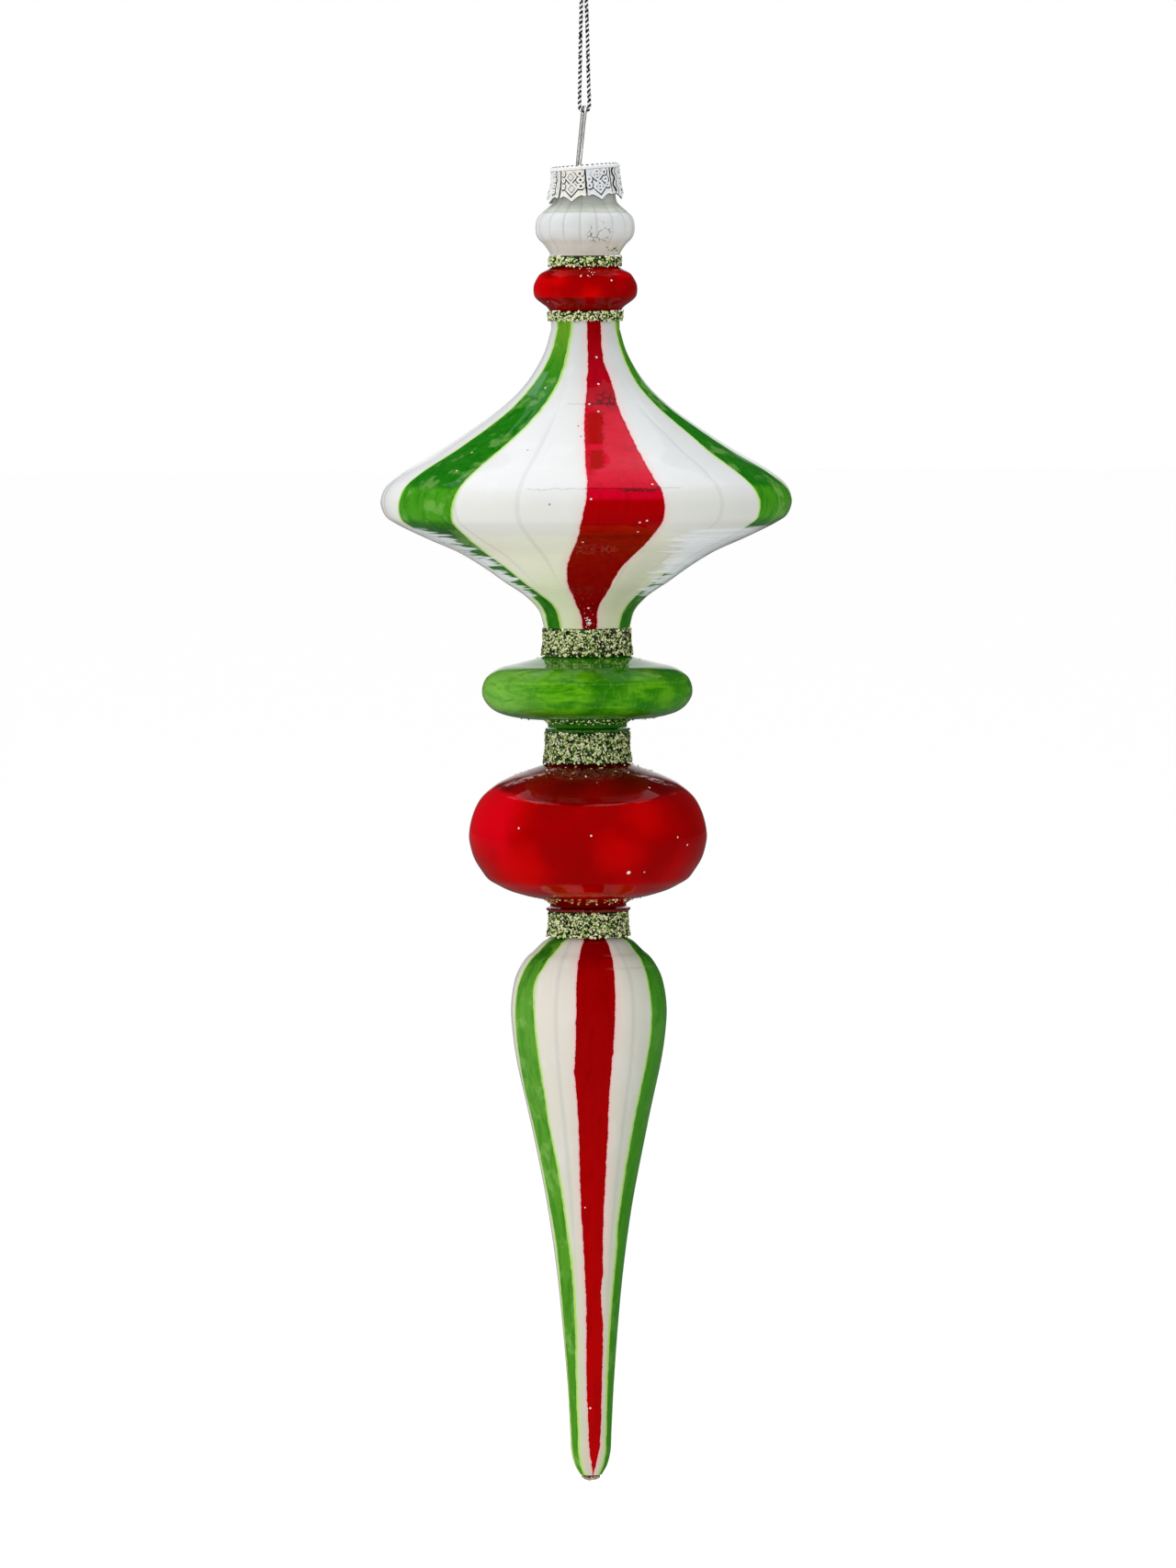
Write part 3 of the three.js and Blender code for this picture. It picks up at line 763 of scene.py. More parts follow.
BUBBLES = [
    (14.6, -104.7), (12.2, -110.8), (2.5, -115.3), (8.1, -117.0), (1.3, -136.3), (15.3, -141.8), (17.3, -141.4),
    (16.1, -144.0), (-1.3, -146.4), (19.5, -133.1), (-40.0, -111.6), (-50.0, -126.2), (-46.0, -130.2),
    (1.8, -162.4), (3.4, -165.2), (2.2, -165.8), (4.4, -165.9), (130.0, -118.0), (126.0, -131.0), (243.0, -112.0),
    (248.0, -128.0), (251.0, -139.0),
]
SPECKS = [(-4.0, -120.2), (-2.3, -122.5), (-23.8, -125.5), (-10.1, -137.5), (-41.0, -133.0), (75.0, -128.0)]
CRACKS = [(-115.2, -4.0, 6.9, 0.9), (-134.1, -13.6, 21.5, 0.8), (-134.5, 8.0, 17.0, 1.0)]
CRAZED = (4.7, -16.6, -114.2)
CROWN_CRAZED = (3.4, -10.8, -76.4)
OVAL_BUBBLE = (21.7, -222.7)


def bulb_material(section):
    paint, colour = striped_paint(section)
    height, left, front = paint.along("Z"), paint.along("X"), paint.along("Y").below(0.0)
    red, green, side, facing = paint.given("red", "green", "side", "front")
    streak = paint.noise(0.9, 4.0, 0.7, paint.stretched(0.07, 0.07, 1.7), 0.4)
    ragged = streak - 0.5

    # Painted reflection: a darker patch inside the lighter band of the red, where the lamps reflect
    patchy = left + paint.noise(0.9, 3.0, 0.7).centred(4.0)
    upper = patchy.between(0.2, 4.0, 0.12) * height.between(-124.2, -117.2, 0.2)
    lower = patchy.between(0.8, 4.1, 0.12) * height.between(-129.6, -125.6, 0.2)
    layers = [(upper.most(lower) * front * red.ease(0.1, 0.2, 0.97), (0.38, 0.0, 0.0))]
    wobble = paint.noise(0.3, 4.0, 0.75).centred(2.4)
    for level, start, end, strength in CRACKS:
        reach = left.between(start, end, 0.5) * front * red.ease(-0.5, 0.2, strength, start=0.2)
        layers.append(((height + wobble).near(level, 0.19) * reach, (0.05, 0.012, 0.012)))
    webs = paint.cells(0.55, feature="DISTANCE_TO_EDGE", where=paint.stretched(1.0, 1.0, 1.25))
    web = webs.ease(0.14, 0.07) * paint.dots([CRAZED], 3.0) * red.ease(0.0, 0.3, 0.85)

    # Painted shade low on the right of the white, and painted glare: pale streaks where the lower cone reflects the
    # light
    shadow = side.between(0.3, 0.72, 0.2) * height.between(-164.0, -148.0, 6.0) * red.ease(-0.1, -0.7, 0.32)
    right_edge = (side + ragged + (height + 150.0) * 0.02).ease(0.61, 0.72)
    left_edge = (ragged * 0.8 - side).ease(0.8, 0.85)
    glare = (height + ragged).between(-159.8, -143.7, 0.35) * right_edge.most(left_edge)
    glare = glare * (facing + ragged * 0.4).ease(-0.14, 0.44, 0.92)
    shine = paint.mix(streak.ease(0.42, 0.62), (0.84, 0.88, 0.86), (0.97, 0.98, 1.0))
    # Painted reflection: the white goes grey-green where it turns away from the front, as the clear glass looks edge-on
    turned_away = facing.between(0.03, 0.25, 0.05) * side.ease(0.0, 0.1) * height.between(-132.5, -109.0, 1.5)
    teal = side.between(-0.95, -0.72, 0.03) * height.between(-113.5, -108.0, 0.4)
    dust = height.ease(-157.0, -163.0) * paint.cells(1.3).ease(0.16, 0.1)
    bubbles = on_surface(section, BUBBLES)
    paint.bump(streak * height.ease(-139.0, -145.0), 0.6, 0.35)
    return paint.glazed(colour.painted(
        *layers,
        (web, (0.1, 0.002, 0.005)),
        (shadow, (0.36, 0.34, 0.25)),
        (glare, shine),
        (turned_away * green.ease(0.1, -0.2, 0.5), (0.42, 0.55, 0.48)),
        (teal * green.ease(0.1, 0.4, 0.2), (0.4, 0.62, 0.46)),
        (dust * red.ease(0.1, 0.3, 0.8, start=0.1), (0.5, 0.3, 0.2)),
        (paint.dots(on_surface(section, SPECKS), 0.26), (0.05, 0.05, 0.04)),
        (paint.dots(bubbles, 0.42), (0.35, 0.12, 0.12)),
        (paint.dots(bubbles, 0.27), (0.98, 0.94, 0.92)),
    ), 1.16)


def drop_material(section):
    paint, colour = striped_paint(section)
    height = paint.along("Z")
    side, red, green = paint.given("side", "red", "green")
    # Painted reflection: two faint grey arcs near the top, on the right
    arcs = height.near(-242.5, 0.3).most(height.near(-245.4, 0.35))
    top = height.ease(-249.0, -240.0, 0.8) * green.ease(0.3, 0.8) * paint.noise(0.3, 3.0, 0.6).ease(0.45, 0.55)
    seeds = paint.seeds(0.22, 0.7, (0.06, 0.035))[0]
    colour = colour.painted((arcs * side.ease(0.2, 0.7, 0.25), (0.4, 0.4, 0.36)))
    # Painted shade: darker towards the right side, and the right green stripe darker still
    return paint.glazed(colour.filtered(side.ease(0.35, 0.8, 0.55), (0.72, 0.8, 0.79)).painted(
        (side.ease(0.5, 0.95, 0.7) * green.ease(0.1, 0.8), (0.03, 0.2, 0.008)),
        (top, (0.005, 0.1, 0.002)),
        (seeds * red.ease(0.0, 0.2), (0.95, 0.85, 0.8)),
    ))


# Tones by height are painted light and shade: darker and warmer towards the foot, and a greyer band below the collar
# with a thin dark line along its lower edge
CROWN_TONES = [
    (-81, (0.6, 0.56, 0.46)), (-78.6, (0.68, 0.65, 0.55)), (-76.5, (0.7, 0.71, 0.68)), (-72, (0.7, 0.71, 0.69)),
    (-71.5, (0.68, 0.7, 0.66)), (-71.2, (0.56, 0.6, 0.5)), (-67.5, (0.56, 0.58, 0.52)),
]


def crown_material(section):
    paint = Paint("white_glass")
    cloud = paint.noise(0.35, 3.0)
    wavy = paint.along("Z") + cloud.centred(0.8)
    webs = paint.cells(0.42, feature="DISTANCE_TO_EDGE", where=paint.stretched(1.0, 1.0, 1.2))
    marks = webs.ease(0.06, 0.025, 0.8) * paint.dots([CROWN_CRAZED], 3.6) * paint.noise(0.4, 2.0, 0.6).ease(0.42, 0.48)
    faint = paint.noise(0.12, 1.0).ease(0.35, 0.6, 0.3, start=0.05)
    return paint.glazed(paint.ramp(wavy, CROWN_TONES).painted(
        (cloud.ease(0.3, 0.7, 0.25), (0.82, 0.83, 0.83)),
        (wavy.near(-71.35, 0.22) * 0.4, (0.38, 0.4, 0.34)),
        (marks, (0.2, 0.17, 0.14)),
        # Painted shade in the rib grooves
        (paint.given("rib").ease(0.45, 0.05) * faint, (0.3, 0.32, 0.28)),
    ))


def red_material(name, scale, tones, glow_tone, dim, bend=0.0):
    """Red lacquer of uneven depth: soft facets of lighter and deeper colour, and a few bubbles. A painted glow lightens
    the left side and painted shade darkens the right, below the top band.
    """
    paint = Paint(name)
    side = paint.given("side")
    warp = paint.noise(0.1 * scale, 2.0)
    facets = paint.cells(0.075 * scale, where=paint.stretched(1.0, 1.0, 0.8), feature="SMOOTH_F1", Smoothness=0.6)
    level = paint.along("Z") + warp.centred(0.8) - side * side * bend
    lit_end = tones[-3][0]
    below = level.ease(lit_end + 1.0, lit_end)
    wavy = side + warp.centred(0.15)
    ring, dot = paint.seeds(0.33, 0.68, (0.15, 0.11, 0.6), (0.1, 0.05))
    colour = paint.ramp(level, tones).filtered((facets * 0.8 + warp * 0.6).ease(0.4, 0.9, 0.95), (0.55, 0.3, 0.5))
    return paint, colour.painted(
        (wavy.ease(-0.56, -0.74, 0.85) * level.ease(tones[1][0], tones[2][0]) * below, glow_tone),
        (wavy.ease(0.3, 0.9, dim) * below, (0.24, 0.0, 0.0005)),
        (ring, (0.12, 0.0, 0.0)),
        (dot, (0.95, 0.85, 0.8)),
    )


# Tones of the small and the oval red bulb by height, which are painted light and shade: a lighter band where the lamps
# reflect, and darker above and below it
SMALL_TONES = [
    (-94, (0.26, 0, 0)), (-91.2, (0.3, 0, 0.0005)), (-90.8, (0.68, 0.0005, 0.001)), (-87, (0.62, 0.0005, 0.001)),
    (-84.4, (0.34, 0, 0.001)), (-84, (0.3, 0, 0.001)),
]
OVAL_TONES = [
    (-231.5, (0.26, 0, 0)), (-226, (0.54, 0, 0.0005)), (-214, (0.58, 0, 0.0005)), (-209, (0.56, 0.0005, 0.001)),
    (-207.4, (0.52, 0.0005, 0.001)), (-206.9, (0.26, 0.0005, 0.0005)), (-204, (0.2, 0.0005, 0.0005)),
    (-198.5, (0.12, 0.0005, 0.0005)),
]


def small_material(section):
    paint, colour = red_material("red_glass_small", 2.2, SMALL_TONES, (0.54, 0.0, 0.001), 0.85)
    return paint.glazed(colour, 1.15)


def oval_material(section):
    paint, colour = red_material("red_glass_oval", 1.0, OVAL_TONES, (0.68, 0.0005, 0.007), 0.6, 2.6)
    height = paint.along("Z")
    side, facing = paint.given("side", "front")
    streak = paint.noise(0.7, 3.0, 0.7, paint.stretched(0.5, 0.5, 1.8), 0.8)
    # Painted highlights: a thin pink line along the lower edge of the dark top, and pale streaks at its upper corners
    bow = height - side * side * 2.6 + streak * 0.6
    wide = abs(side)
    corner = (height + wide * 12.0).between(-192.8, -191.4, 0.3) * wide.between(0.62, 0.9, 0.06) * facing.ease(0.0, 0.2)
    return paint.glazed(colour.painted(
        (bow.near(-206.8, 0.26) * paint.noise(0.13, 2.0).ease(0.4, 0.6, 0.2), (0.85, 0.2, 0.2)),
        (corner * streak.ease(0.42, 0.6, 0.75), (0.85, 0.55, 0.56)),
        (paint.dots(on_surface(section, [OVAL_BUBBLE]), 0.55), (0.95, 0.82, 0.78)),
    ), 1.18)


def disc_material(section):
    """Green lacquer brushed round the disc, with darker pools and curved streaks. Painted light: the left side lighter,
    a thin highlight line round the upper rounding, shade on the right and underneath, and a darker band on the neck
    above for the glitter band's reflection.
    """
    paint = Paint("green_glass")
    side, height = paint.given("side"), paint.along("Z")
    brushed = paint.noise(0.22, 4.0, 0.6, paint.stretched(0.6, 0.6, 2.6), 0.9)
    pools = paint.noise(0.085, 2.0, 0.5)
    fine = paint.noise(1.1, 3.0, 0.6, paint.stretched(1.2, 1.2, 0.35))
    glint = (height + pools.centred(0.8)).near(-179.4, 0.2)
    return paint.glazed(paint.layered(
        (0.02, 0.22, 0.001),
        (brushed.ease(0.32, 0.66), (0.13, 0.44, 0.006)),
        (pools.ease(0.48, 0.66, 0.8), (0.008, 0.16, 0.001)),
        (fine.ease(0.5, 0.72, 0.3), (0.22, 0.5, 0.05)),
        (side.ease(-0.3, -0.85) * brushed.ease(0.3, 0.6, 0.95, start=0.45), (0.2, 0.5, 0.06)),
        (glint * fine.ease(0.4, 0.6, 0.3, start=0.05), (0.3, 0.6, 0.12)),
        (side.ease(0.4, 0.95, 0.45), (0.02, 0.19, 0.003)),
        (height.ease(-184.8, -187.2, 0.75), (0.012, 0.12, 0.001)),
        (height.ease(-177.2, -176.2, 0.6), (0.004, 0.13, 0.001)),
    ), 1.4)


# Columns, step along the outline, material and slot of each section

GLASS = {
    "crown_bulb": (288, 0.18, crown_material, "white_glass"),
    "small_red_bulb": (240, 0.2, small_material, "red_glass"),
    "striped_bulb": (384, 0.6, bulb_material, "striped_glass"),
    "green_disc": (300, 0.25, disc_material, "green_glass"),
    "red_oval_bulb": (330, 0.3, oval_material, "red_glass"),
    "striped_drop": (288, 0.55, drop_material, "striped_glass"),
}
RIB_FADE = 1.4


def make_glass():
    for section in SECTIONS:
        name = section["name"]
        columns, step, finish, slot = GLASS[name]
        made, rows, angles = glass_object(section, columns, step, finish(section))
        radius, height = rows[:, :1], rows[:, 1:]
        if section["crease"] is not None:
            fade = 0 if name == "crown_bulb" else RIB_FADE
            fading = fade * np.clip(1 - radius / (0.6 * section["belly"]), 0, 1)
            note(made, "rib", groove(section, angles, radius) + fading)
        for colour, stripes in STRIPES.get(name, {}).items():
            note(made, colour, stripe_depth(stripes, radius, height, angles))
        for way, values in (("side", np.sin(angles)), ("front", np.cos(angles))):
            note(made, way, np.broadcast_to(values, (len(rows), columns)))
        piece(made, "glass", slot, name)


# Glitter

JOINTS = [
    dict(bead=0.4, stand=0.0, bare=0.3, band=(0.35, 0.4, 0.45)),
    dict(bead=0.4, stand=0.0, bare=2.0, band=(0.6, 0.5, 0.3)),
    dict(bead=0.4, stand=0.0, bare=0.3, band=(0.3, 0.3, 0.75)),
    dict(bead=0.7, stand=0.45, bare=0.3, band=(0.4, 0.3, 0.9)),
    dict(bead=0.7, stand=1.0, bare=0.3, band=(0.4, 0.45, 0.9)),
]
BAND_ROWS = 26
BAND_COLUMNS = 160
BAND_ROUGH = 0.05
BAND_PLACES = [0, 0.5, 1]
FLAKE = 0.26
FLAKE_THICK = 0.03
FLAKE_ROOM = 0.12
FLAKE_RISE = 0.14
FLAKE_LEAN = 0.45
FLAKE_SIZES = (0.75, 1.3)
LOOSE_RISE = 0.06
FLAKE_POINTS = 8
FLAKE_COVER = 1.6
HEXAGON_AREA = 2.6
DUST = 0.15
WHITE_TINT = 1.5

# Loose flakes on the glass next to a band, stray glitter that on the disc's foot and the oval's shoulder also stands in
# for the band's painted reflection: which section, lowest and highest place, left and right angle, how many, and
# whether they are green like the band, gold or white

LOOSE = {
    0: [(1, -86.2, -84.2, -12, 14, 12, 2.0), (0, -80.8, -79.0, 30, 60, 8, 0.0)],
    2: [(2, -166.8, -163.2, -4, 8, 12, 2.0)],
    3: [(3, -189.3, -188.0, -180, 180, 420, -0.15), (3, -175.2, -173.8, -180, 180, 20, -0.1)],
    4: [(4, -231.0, -229.4, -180, 180, 170, 1.0), (4, -201.6, -198.6, -180, 180, 90, 1.0)],
}

# Colours of the flakes, each from a tint upward

FLAKE_TONES = [
    (0.27, (0.04, 0.15, 0.015)), (0.36, (0.2, 0.42, 0.05)), (0.46, (0.68, 0.86, 0.24)), (0.62, (1.0, 1.0, 0.6)),
    (1.2, (0.6, 0.36, 0.09)), (2.0, (1.0, 0.95, 0.9)),
]


def glitter_material():
    paint = Paint("glitter_flakes")
    tint = paint.given("tint")
    layers = [(tint.ease(start, start + 0.01), tone) for start, tone in FLAKE_TONES]
    return paint.finish(paint.layered((0.002, 0.004, 0.002), *layers), Roughness=0.25)


def glue_material():
    paint = Paint("glitter_glue")
    grain = paint.noise(3.0, 3.0, 0.7)
    paint.bump(grain, 0.8, 0.2)
    return paint.finish(paint.mix(grain.ease(0.4, 0.62), (0.008, 0.016, 0.006), (0.04, 0.1, 0.015)), Roughness=0.5)


def flakes(centres, normals, size):
    """Thin six-sided chips, each with a point above and below, tilted at random, and a tint for each corner."""
    count = len(centres)
    up = unit(normals + rng.normal(0, FLAKE_LEAN, (count, 3)))
    across = unit(np.cross(up, rng.normal(0, 1, (count, 3))))
    other = np.cross(up, across)
    size = size * rng.uniform(*FLAKE_SIZES, (count, 1, 1))
    angles = np.arange(6)[None, :, None] * math.pi / 3
    corners = centres[:, None] + size * (np.cos(angles) * across[:, None] + np.sin(angles) * other[:, None])
    tips = centres[:, None] + up[:, None] * np.array([-FLAKE_THICK, FLAKE_THICK])[None, :, None]
    vertices = np.concatenate([corners, tips], axis=1).reshape(-1, 3)
    k = np.arange(6)
    n = (k + 1) % 6
    pattern = np.concatenate([np.stack([k, n, 0 * k + 7], 1), np.stack([n, k, 0 * k + 6], 1)])
    faces = (np.arange(count)[:, None, None] * FLAKE_POINTS + pattern[None]).reshape(-1, 3)
    return vertices, faces, np.repeat(rng.uniform(0, 1, count), FLAKE_POINTS)


def band_flakes(i, inside, bottom, tall, bulge, covered):
    """Where the flakes of a band lie, which way they face, and how each one's tint differs."""
    count = int(FLAKE_COVER * covered / (HEXAGON_AREA * FLAKE**2))
    theta = rng.uniform(0, 2 * math.pi, count)
    ragged = ripples(theta, (0.18, 7, i), (0.14, 19, 2 * i))
    place = rng.uniform(-0.02, 1.02, count)
    height = bottom + place * tall + ragged * np.where(place < 0.5, 1, -1) * np.abs(place - 0.5)
    radius = inside + np.interp(place, BAND_PLACES, bulge) + rng.uniform(0.0, FLAKE_RISE, count)
    centres = [around(radius, height, theta)]
    normals = [around(1, 0.1 * np.sign(place - 0.5), theta)]
    tones = [np.full(count, 0.08 if i < 2 else 0.0)]
    for section, low, high, left, right, more, tone in LOOSE.get(i, []):
        marks = np.stack([rng.uniform(left, right, more), rng.uniform(low, high, more)], axis=1)
        spots = np.array(on_surface(SECTIONS[section], marks))
        outward = spots * (1, 1, 0) / np.hypot(spots[:, 0], spots[:, 1])[:, None]
        centres.append(spots + LOOSE_RISE * outward)
        normals.append(outward)
        tones.append(np.full(more, tone))
    return np.concatenate(centres), np.concatenate(normals), np.concatenate(tones)


def make_bands():
    materials = [glue_material(), glitter_material()]
    for i, joint in enumerate(JOINTS):
        rim, inside = SECTIONS[i + 1]["rim"], SECTIONS[i + 1]["collar"] + FIT
        top = rim if joint["stand"] else rim + joint["bead"] + FIT
        bottom = rim - SECTIONS[i + 1]["collar_length"] + joint["bare"]
        bulge = (np.array(joint["band"]) - FLAKE_ROOM)[::-1]
        heights = np.linspace(bottom, top, BAND_ROWS)
        thick = np.interp((heights - bottom) / (top - bottom), BAND_PLACES, bulge)
        radius = np.full((BAND_ROWS + 2, BAND_COLUMNS), inside)
        radius[1:-1] = inside + thick[:, None] + rng.normal(0, BAND_ROUGH, (BAND_ROWS, BAND_COLUMNS))
        ring = around(radius, np.array([bottom, *heights, top])[:, None], ring_angles(BAND_COLUMNS)) * MM
        ring_faces = grid_faces(*radius.shape, True)

        covered = 2 * math.pi * (inside + thick.mean()) * (top - bottom)
        centres, normals, tones = band_flakes(i, inside, bottom, top - bottom, bulge, covered)
        sizes = np.where(tones > WHITE_TINT, DUST, FLAKE)[:, None, None]
        chips, chip_faces, tints = flakes(centres, normals, sizes)
        # Painted light: flakes towards the front left are tinted lighter, and those towards the back right greener
        lit = 0.07 * np.cos(np.arctan2(centres[:, 0], -centres[:, 1]) + 0.6)
        tints += np.repeat(tones, FLAKE_POINTS) + np.repeat(lit, FLAKE_POINTS)
        faces = ring_faces.tolist() + (chip_faces + len(ring)).tolist()
        which = np.repeat([0, 1], [len(ring_faces), len(chip_faces)])
        made = mesh_object(f"glitter_{i + 1}", np.concatenate([ring, chips * MM]), faces, materials, 12, which)
        note(made, "tint", np.concatenate([np.zeros(len(ring)), tints]))
        piece(made, "glass", "glitter", f"glitter_band_{i + 1}")


# Cement

BEAD_COLUMNS = 180
BEAD_BULGE = 0.18
BEAD_OUT = 0.12
BEAD_INSET = 0.3


def cement_material(name, deep, bright):
    paint = Paint(name)
    grain = paint.noise(1.6, 4.0, 0.65)
    paint.bump(grain, 0.4, 0.1)
    seeds = paint.cells(1.1).ease(0.12, 0.07, 0.8)
    return paint.finish(paint.layered(deep, (grain.ease(0.35, 0.65), bright), (seeds, (0.6, 0.6, 0.3))), Roughness=0.18)


def cement_bead(i, upper, material):
    """The ring of cement in a joint, with a rounded, ridged bead between the two sections."""
    following = SECTIONS[i + 1]
    fill = following["collar"] - WALL - FIT
    inside = fill - CEMENT
    stand = following["collar"] + JOINTS[i]["stand"]
    shoulder = foot_height(upper) - upper["foot_length"]
    top, low, bottom = shoulder - FIT, following["rim"] + FIT, shoulder - upper["stub"]
    rows = np.array([
        (inside, bottom), (fill, bottom), (fill, (bottom + low) / 2), (fill, low), (stand - BEAD_INSET, low),
        *((stand + BEAD_BULGE * math.sin(math.pi * t), low + (top - low) * t) for t in np.linspace(0.0, 1.0, 9)),
        (stand - BEAD_INSET, top), (inside, top),
    ])
    angles = ring_angles(BEAD_COLUMNS)
    radius = np.repeat(rows[:, :1], BEAD_COLUMNS, axis=1)
    ridges = BEAD_OUT + ripples(angles, (0.1, 7, i), (0.08, 17, 2 * i))
    radius[4:14] += ridges * (np.linspace(0.0, 1.0, 10) ** 2)[:, None]
    made = lathed(f"cement_bead_{i + 1}", radius, rows[:, 1:], angles, material)
    piece(made, "glass", "cement", f"cement_ring_{i + 1}")


def make_cement():
    green = cement_material("green_cement", (0.01, 0.09, 0.005), (0.05, 0.26, 0.015))
    red = cement_material("red_cement", (0.08, 0.002, 0.001), (0.26, 0.008, 0.003))
    for i, upper in enumerate(SECTIONS[:-1]):
        cement_bead(i, upper, red if upper["name"] == "red_oval_bulb" else green)


# Tip seal

SEAL_RADIUS = 2.3
SEAL_HEIGHT = 1.1
SEAL_ROOT = 1.2
SEAL_COLUMNS = 96
SEAL_SHAPE = [(0.0, 1.0), (0.4, 0.92), (0.78, 0.62), (0.94, 0.25), (0.88, 0.0)]
SEAL_LUMPS = 0.17
SEAL_LIFT = 0.1
PINHOLE = 0.02


def tip_material():
    paint = Paint("tip_cement")
    grain = paint.noise(2.2, 4.0, 0.7)
    paint.bump(grain, 0.8, 0.2)
    pale, red = (grain.ease(0.42, 0.5), (0.62, 0.5, 0.3)), (grain.ease(0.56, 0.62), (0.3, 0.03, 0.012))
    return paint.finish(paint.layered((0.02, 0.014, 0.008), pale, red), Roughness=0.6)


def make_seal():
    foot = foot_height(SECTIONS[-1])
    face, root = foot - FIT, foot + SEAL_ROOT
    way = catmull(SEAL_SHAPE, 8)
    count = len(way)
    angles = ring_angles(SEAL_COLUMNS)
    rows = [(max(out * SEAL_RADIUS, PINHOLE), face - down * SEAL_HEIGHT) for out, down in way]
    rows += [(TIP_HOLE - FIT, face), (TIP_HOLE - FIT, root), (PINHOLE, root)]
    radius, height = (np.repeat(column[:, None], SEAL_COLUMNS, axis=1) for column in np.array(rows).T)
    lumps = ripples(angles, (0.5, 3, 1), (0.3, 7, 0), (0.25, 13, 2))
    radius[1:count] += SEAL_LUMPS * lumps * np.linspace(0.5, 1, count - 1)[:, None]
    slant = ripples(angles, (0.28, 1, -0.9), (0.2, 3, 0), (0.12, 8, 1))
    height[:count] += (slant * radius[:count] / SEAL_RADIUS + SEAL_LIFT) * np.linspace(1, 0, count)[:, None]
    piece(lathed("tip_plug", radius, height, angles, tip_material()), "glass", "seal", "tip_seal")


# Wire hanger. It is bent flat, leans about the top of its eye and is turned a little to show both sides.

WIRE_RADIUS = 0.36
WIRE_SIDES = 16
WIRE_STEP = 0.15
WIRE_LEAN = math.radians(6)
ARCH_DROP = 47.05
EYE_HEIGHT = 12.95
EYE_HALF = 3.4
LEG_GAP = 0.8
LEG_DEPTH = 10.0
FOOT_OUT = 4.67
LEG_SHAPE = [(0.97, 0.18), (0.62, 0.5), (0.3, 0.78)]
EYE_SHAPE = [(0.0, 1.0), (0.35, 0.8), (0.8, 0.55), (1.0, 0.27), (0.65, 0.08)]
WIRE_SHIFT = 0.3


def wire_material():
    paint = Paint("drawn_wire")
    lines = paint.noise(1.0, 3.0, 0.6, paint.stretched(6.0, 6.0, 0.25))
    # Painted shade: the wire darkens towards its left and right edges
    flank = paint.given("flank") + lines.centred(0.5)
    paint.bump(lines, 0.3, 0.03)
    return paint.finish(paint.layered(
        (0.55, 0.56, 0.5), (lines.ease(0.3, 0.6), (0.98, 0.98, 0.94)), (flank.ease(0.5, 0.72), (0.01, 0.012, 0.009)),
    ), Metallic=0.35, Roughness=0.2)


def leant(out, down):
    """A point of the wire's flat bend, in its place. The two halves of the eye part a little."""
    seen = min(1.0, max(0.0, (EYE_HEIGHT + 3 - down) / 3))
    shift = -WIRE_SHIFT * math.tanh(1.6 * out) * seen
    return (shift - down * math.sin(WIRE_LEAN), out, -ARCH_DROP - down * math.cos(WIRE_LEAN))


def make_wire():
    foot_down = EYE_HEIGHT + LEG_DEPTH
    half = [(FOOT_OUT, foot_down)]
    half += [(spread * FOOT_OUT, foot_down - up * LEG_DEPTH) for spread, up in LEG_SHAPE]
    half += [(LEG_GAP + (EYE_HALF - LEG_GAP) * out, left * EYE_HEIGHT) for out, left in EYE_SHAPE]
    way = [*((-out, down) for out, down in half), (0, 0), *half[::-1]]
    centre = even(catmull([leant(out, down) for out, down in way]), WIRE_STEP)
    vertices, faces = tube_mesh(centre, WIRE_RADIUS, WIRE_SIDES)
    made = mesh_object("bent_wire", vertices * MM, faces, [wire_material()])
    note(made, "flank", np.abs(vertices[:, 0] - np.repeat(centre[:, 0], WIRE_SIDES)) / WIRE_RADIUS)
    piece(made, "hanger", "wire", "wire_hanger")


# Cap

CAP_DROP = 60.4
CAP_TILT = math.radians(4)
CAP_HOLE = 2.7
CAP_INNER = 7.5
CAP_OUTER = 7.85
CAP_SHEET = 0.25
CAP_EDGE = 0.12
CAP_RINGS = [(4.4, 0.3), (6.0, 0.4)]
RING_DEPTH = 0.2
PLATE_START = 3.2
PLATE_ROWS = 24
RIM_ROWS = 10
SKIRT_ROWS = 84
LINING_ROWS = 10
HALF_PETAL = 3.1
HEM = 0.32
HEM_WIDTH = 0.16
PRESSED_HEIGHT = 0.17
PETALS = 8
PETAL_COLUMNS = 64
POINT_DEPTH = 8.5
SHOULDER_DEPTH = 7.4
SLIT_DEPTH = 5.8
WAIST_DEPTH = 0.25
POINT_CURVE = 1.3
SKIRT_FLARE = 0.9
PETAL_BOW = 0.1
RIM_HEIGHT = 1.1
RIM_STAND = 0.2
RIM_ROUND = 0.85
PRESSED_SHADE = 0.37
LINE_WIDTH = 0.18
SHADE_WIDTH = 0.8 * LINE_WIDTH
FLUTES = 40
FLUTE_DEPTH = 0.08
DIAMOND_SLOPE = 0.72

# Places and widths on a petal, as shares of the way from its middle line to a slit

POINT_SHARE = 0.46
WAIST_SHARE = 0.62
SLIT_SHARE = 0.035
SLIT_SHADE = 0.05
PETAL_KINDS = "DSRDRDSR"
PETAL_FLARE = [0.1, -0.1, -0.1, 0.1, 0.3, 0.4, 0.8, 0.6]
PETAL_TINTS = [0.95, 0.6, 0.3, 0.6, 0.4, 0.7, 0.35, 0.0]

# Marks pressed into a petal: place across and down, half its width and height, and D or d for a diamond and
# O or o for a ring. A capital one has a dark hollow in its middle, and e is a ring with a hollow below its middle.

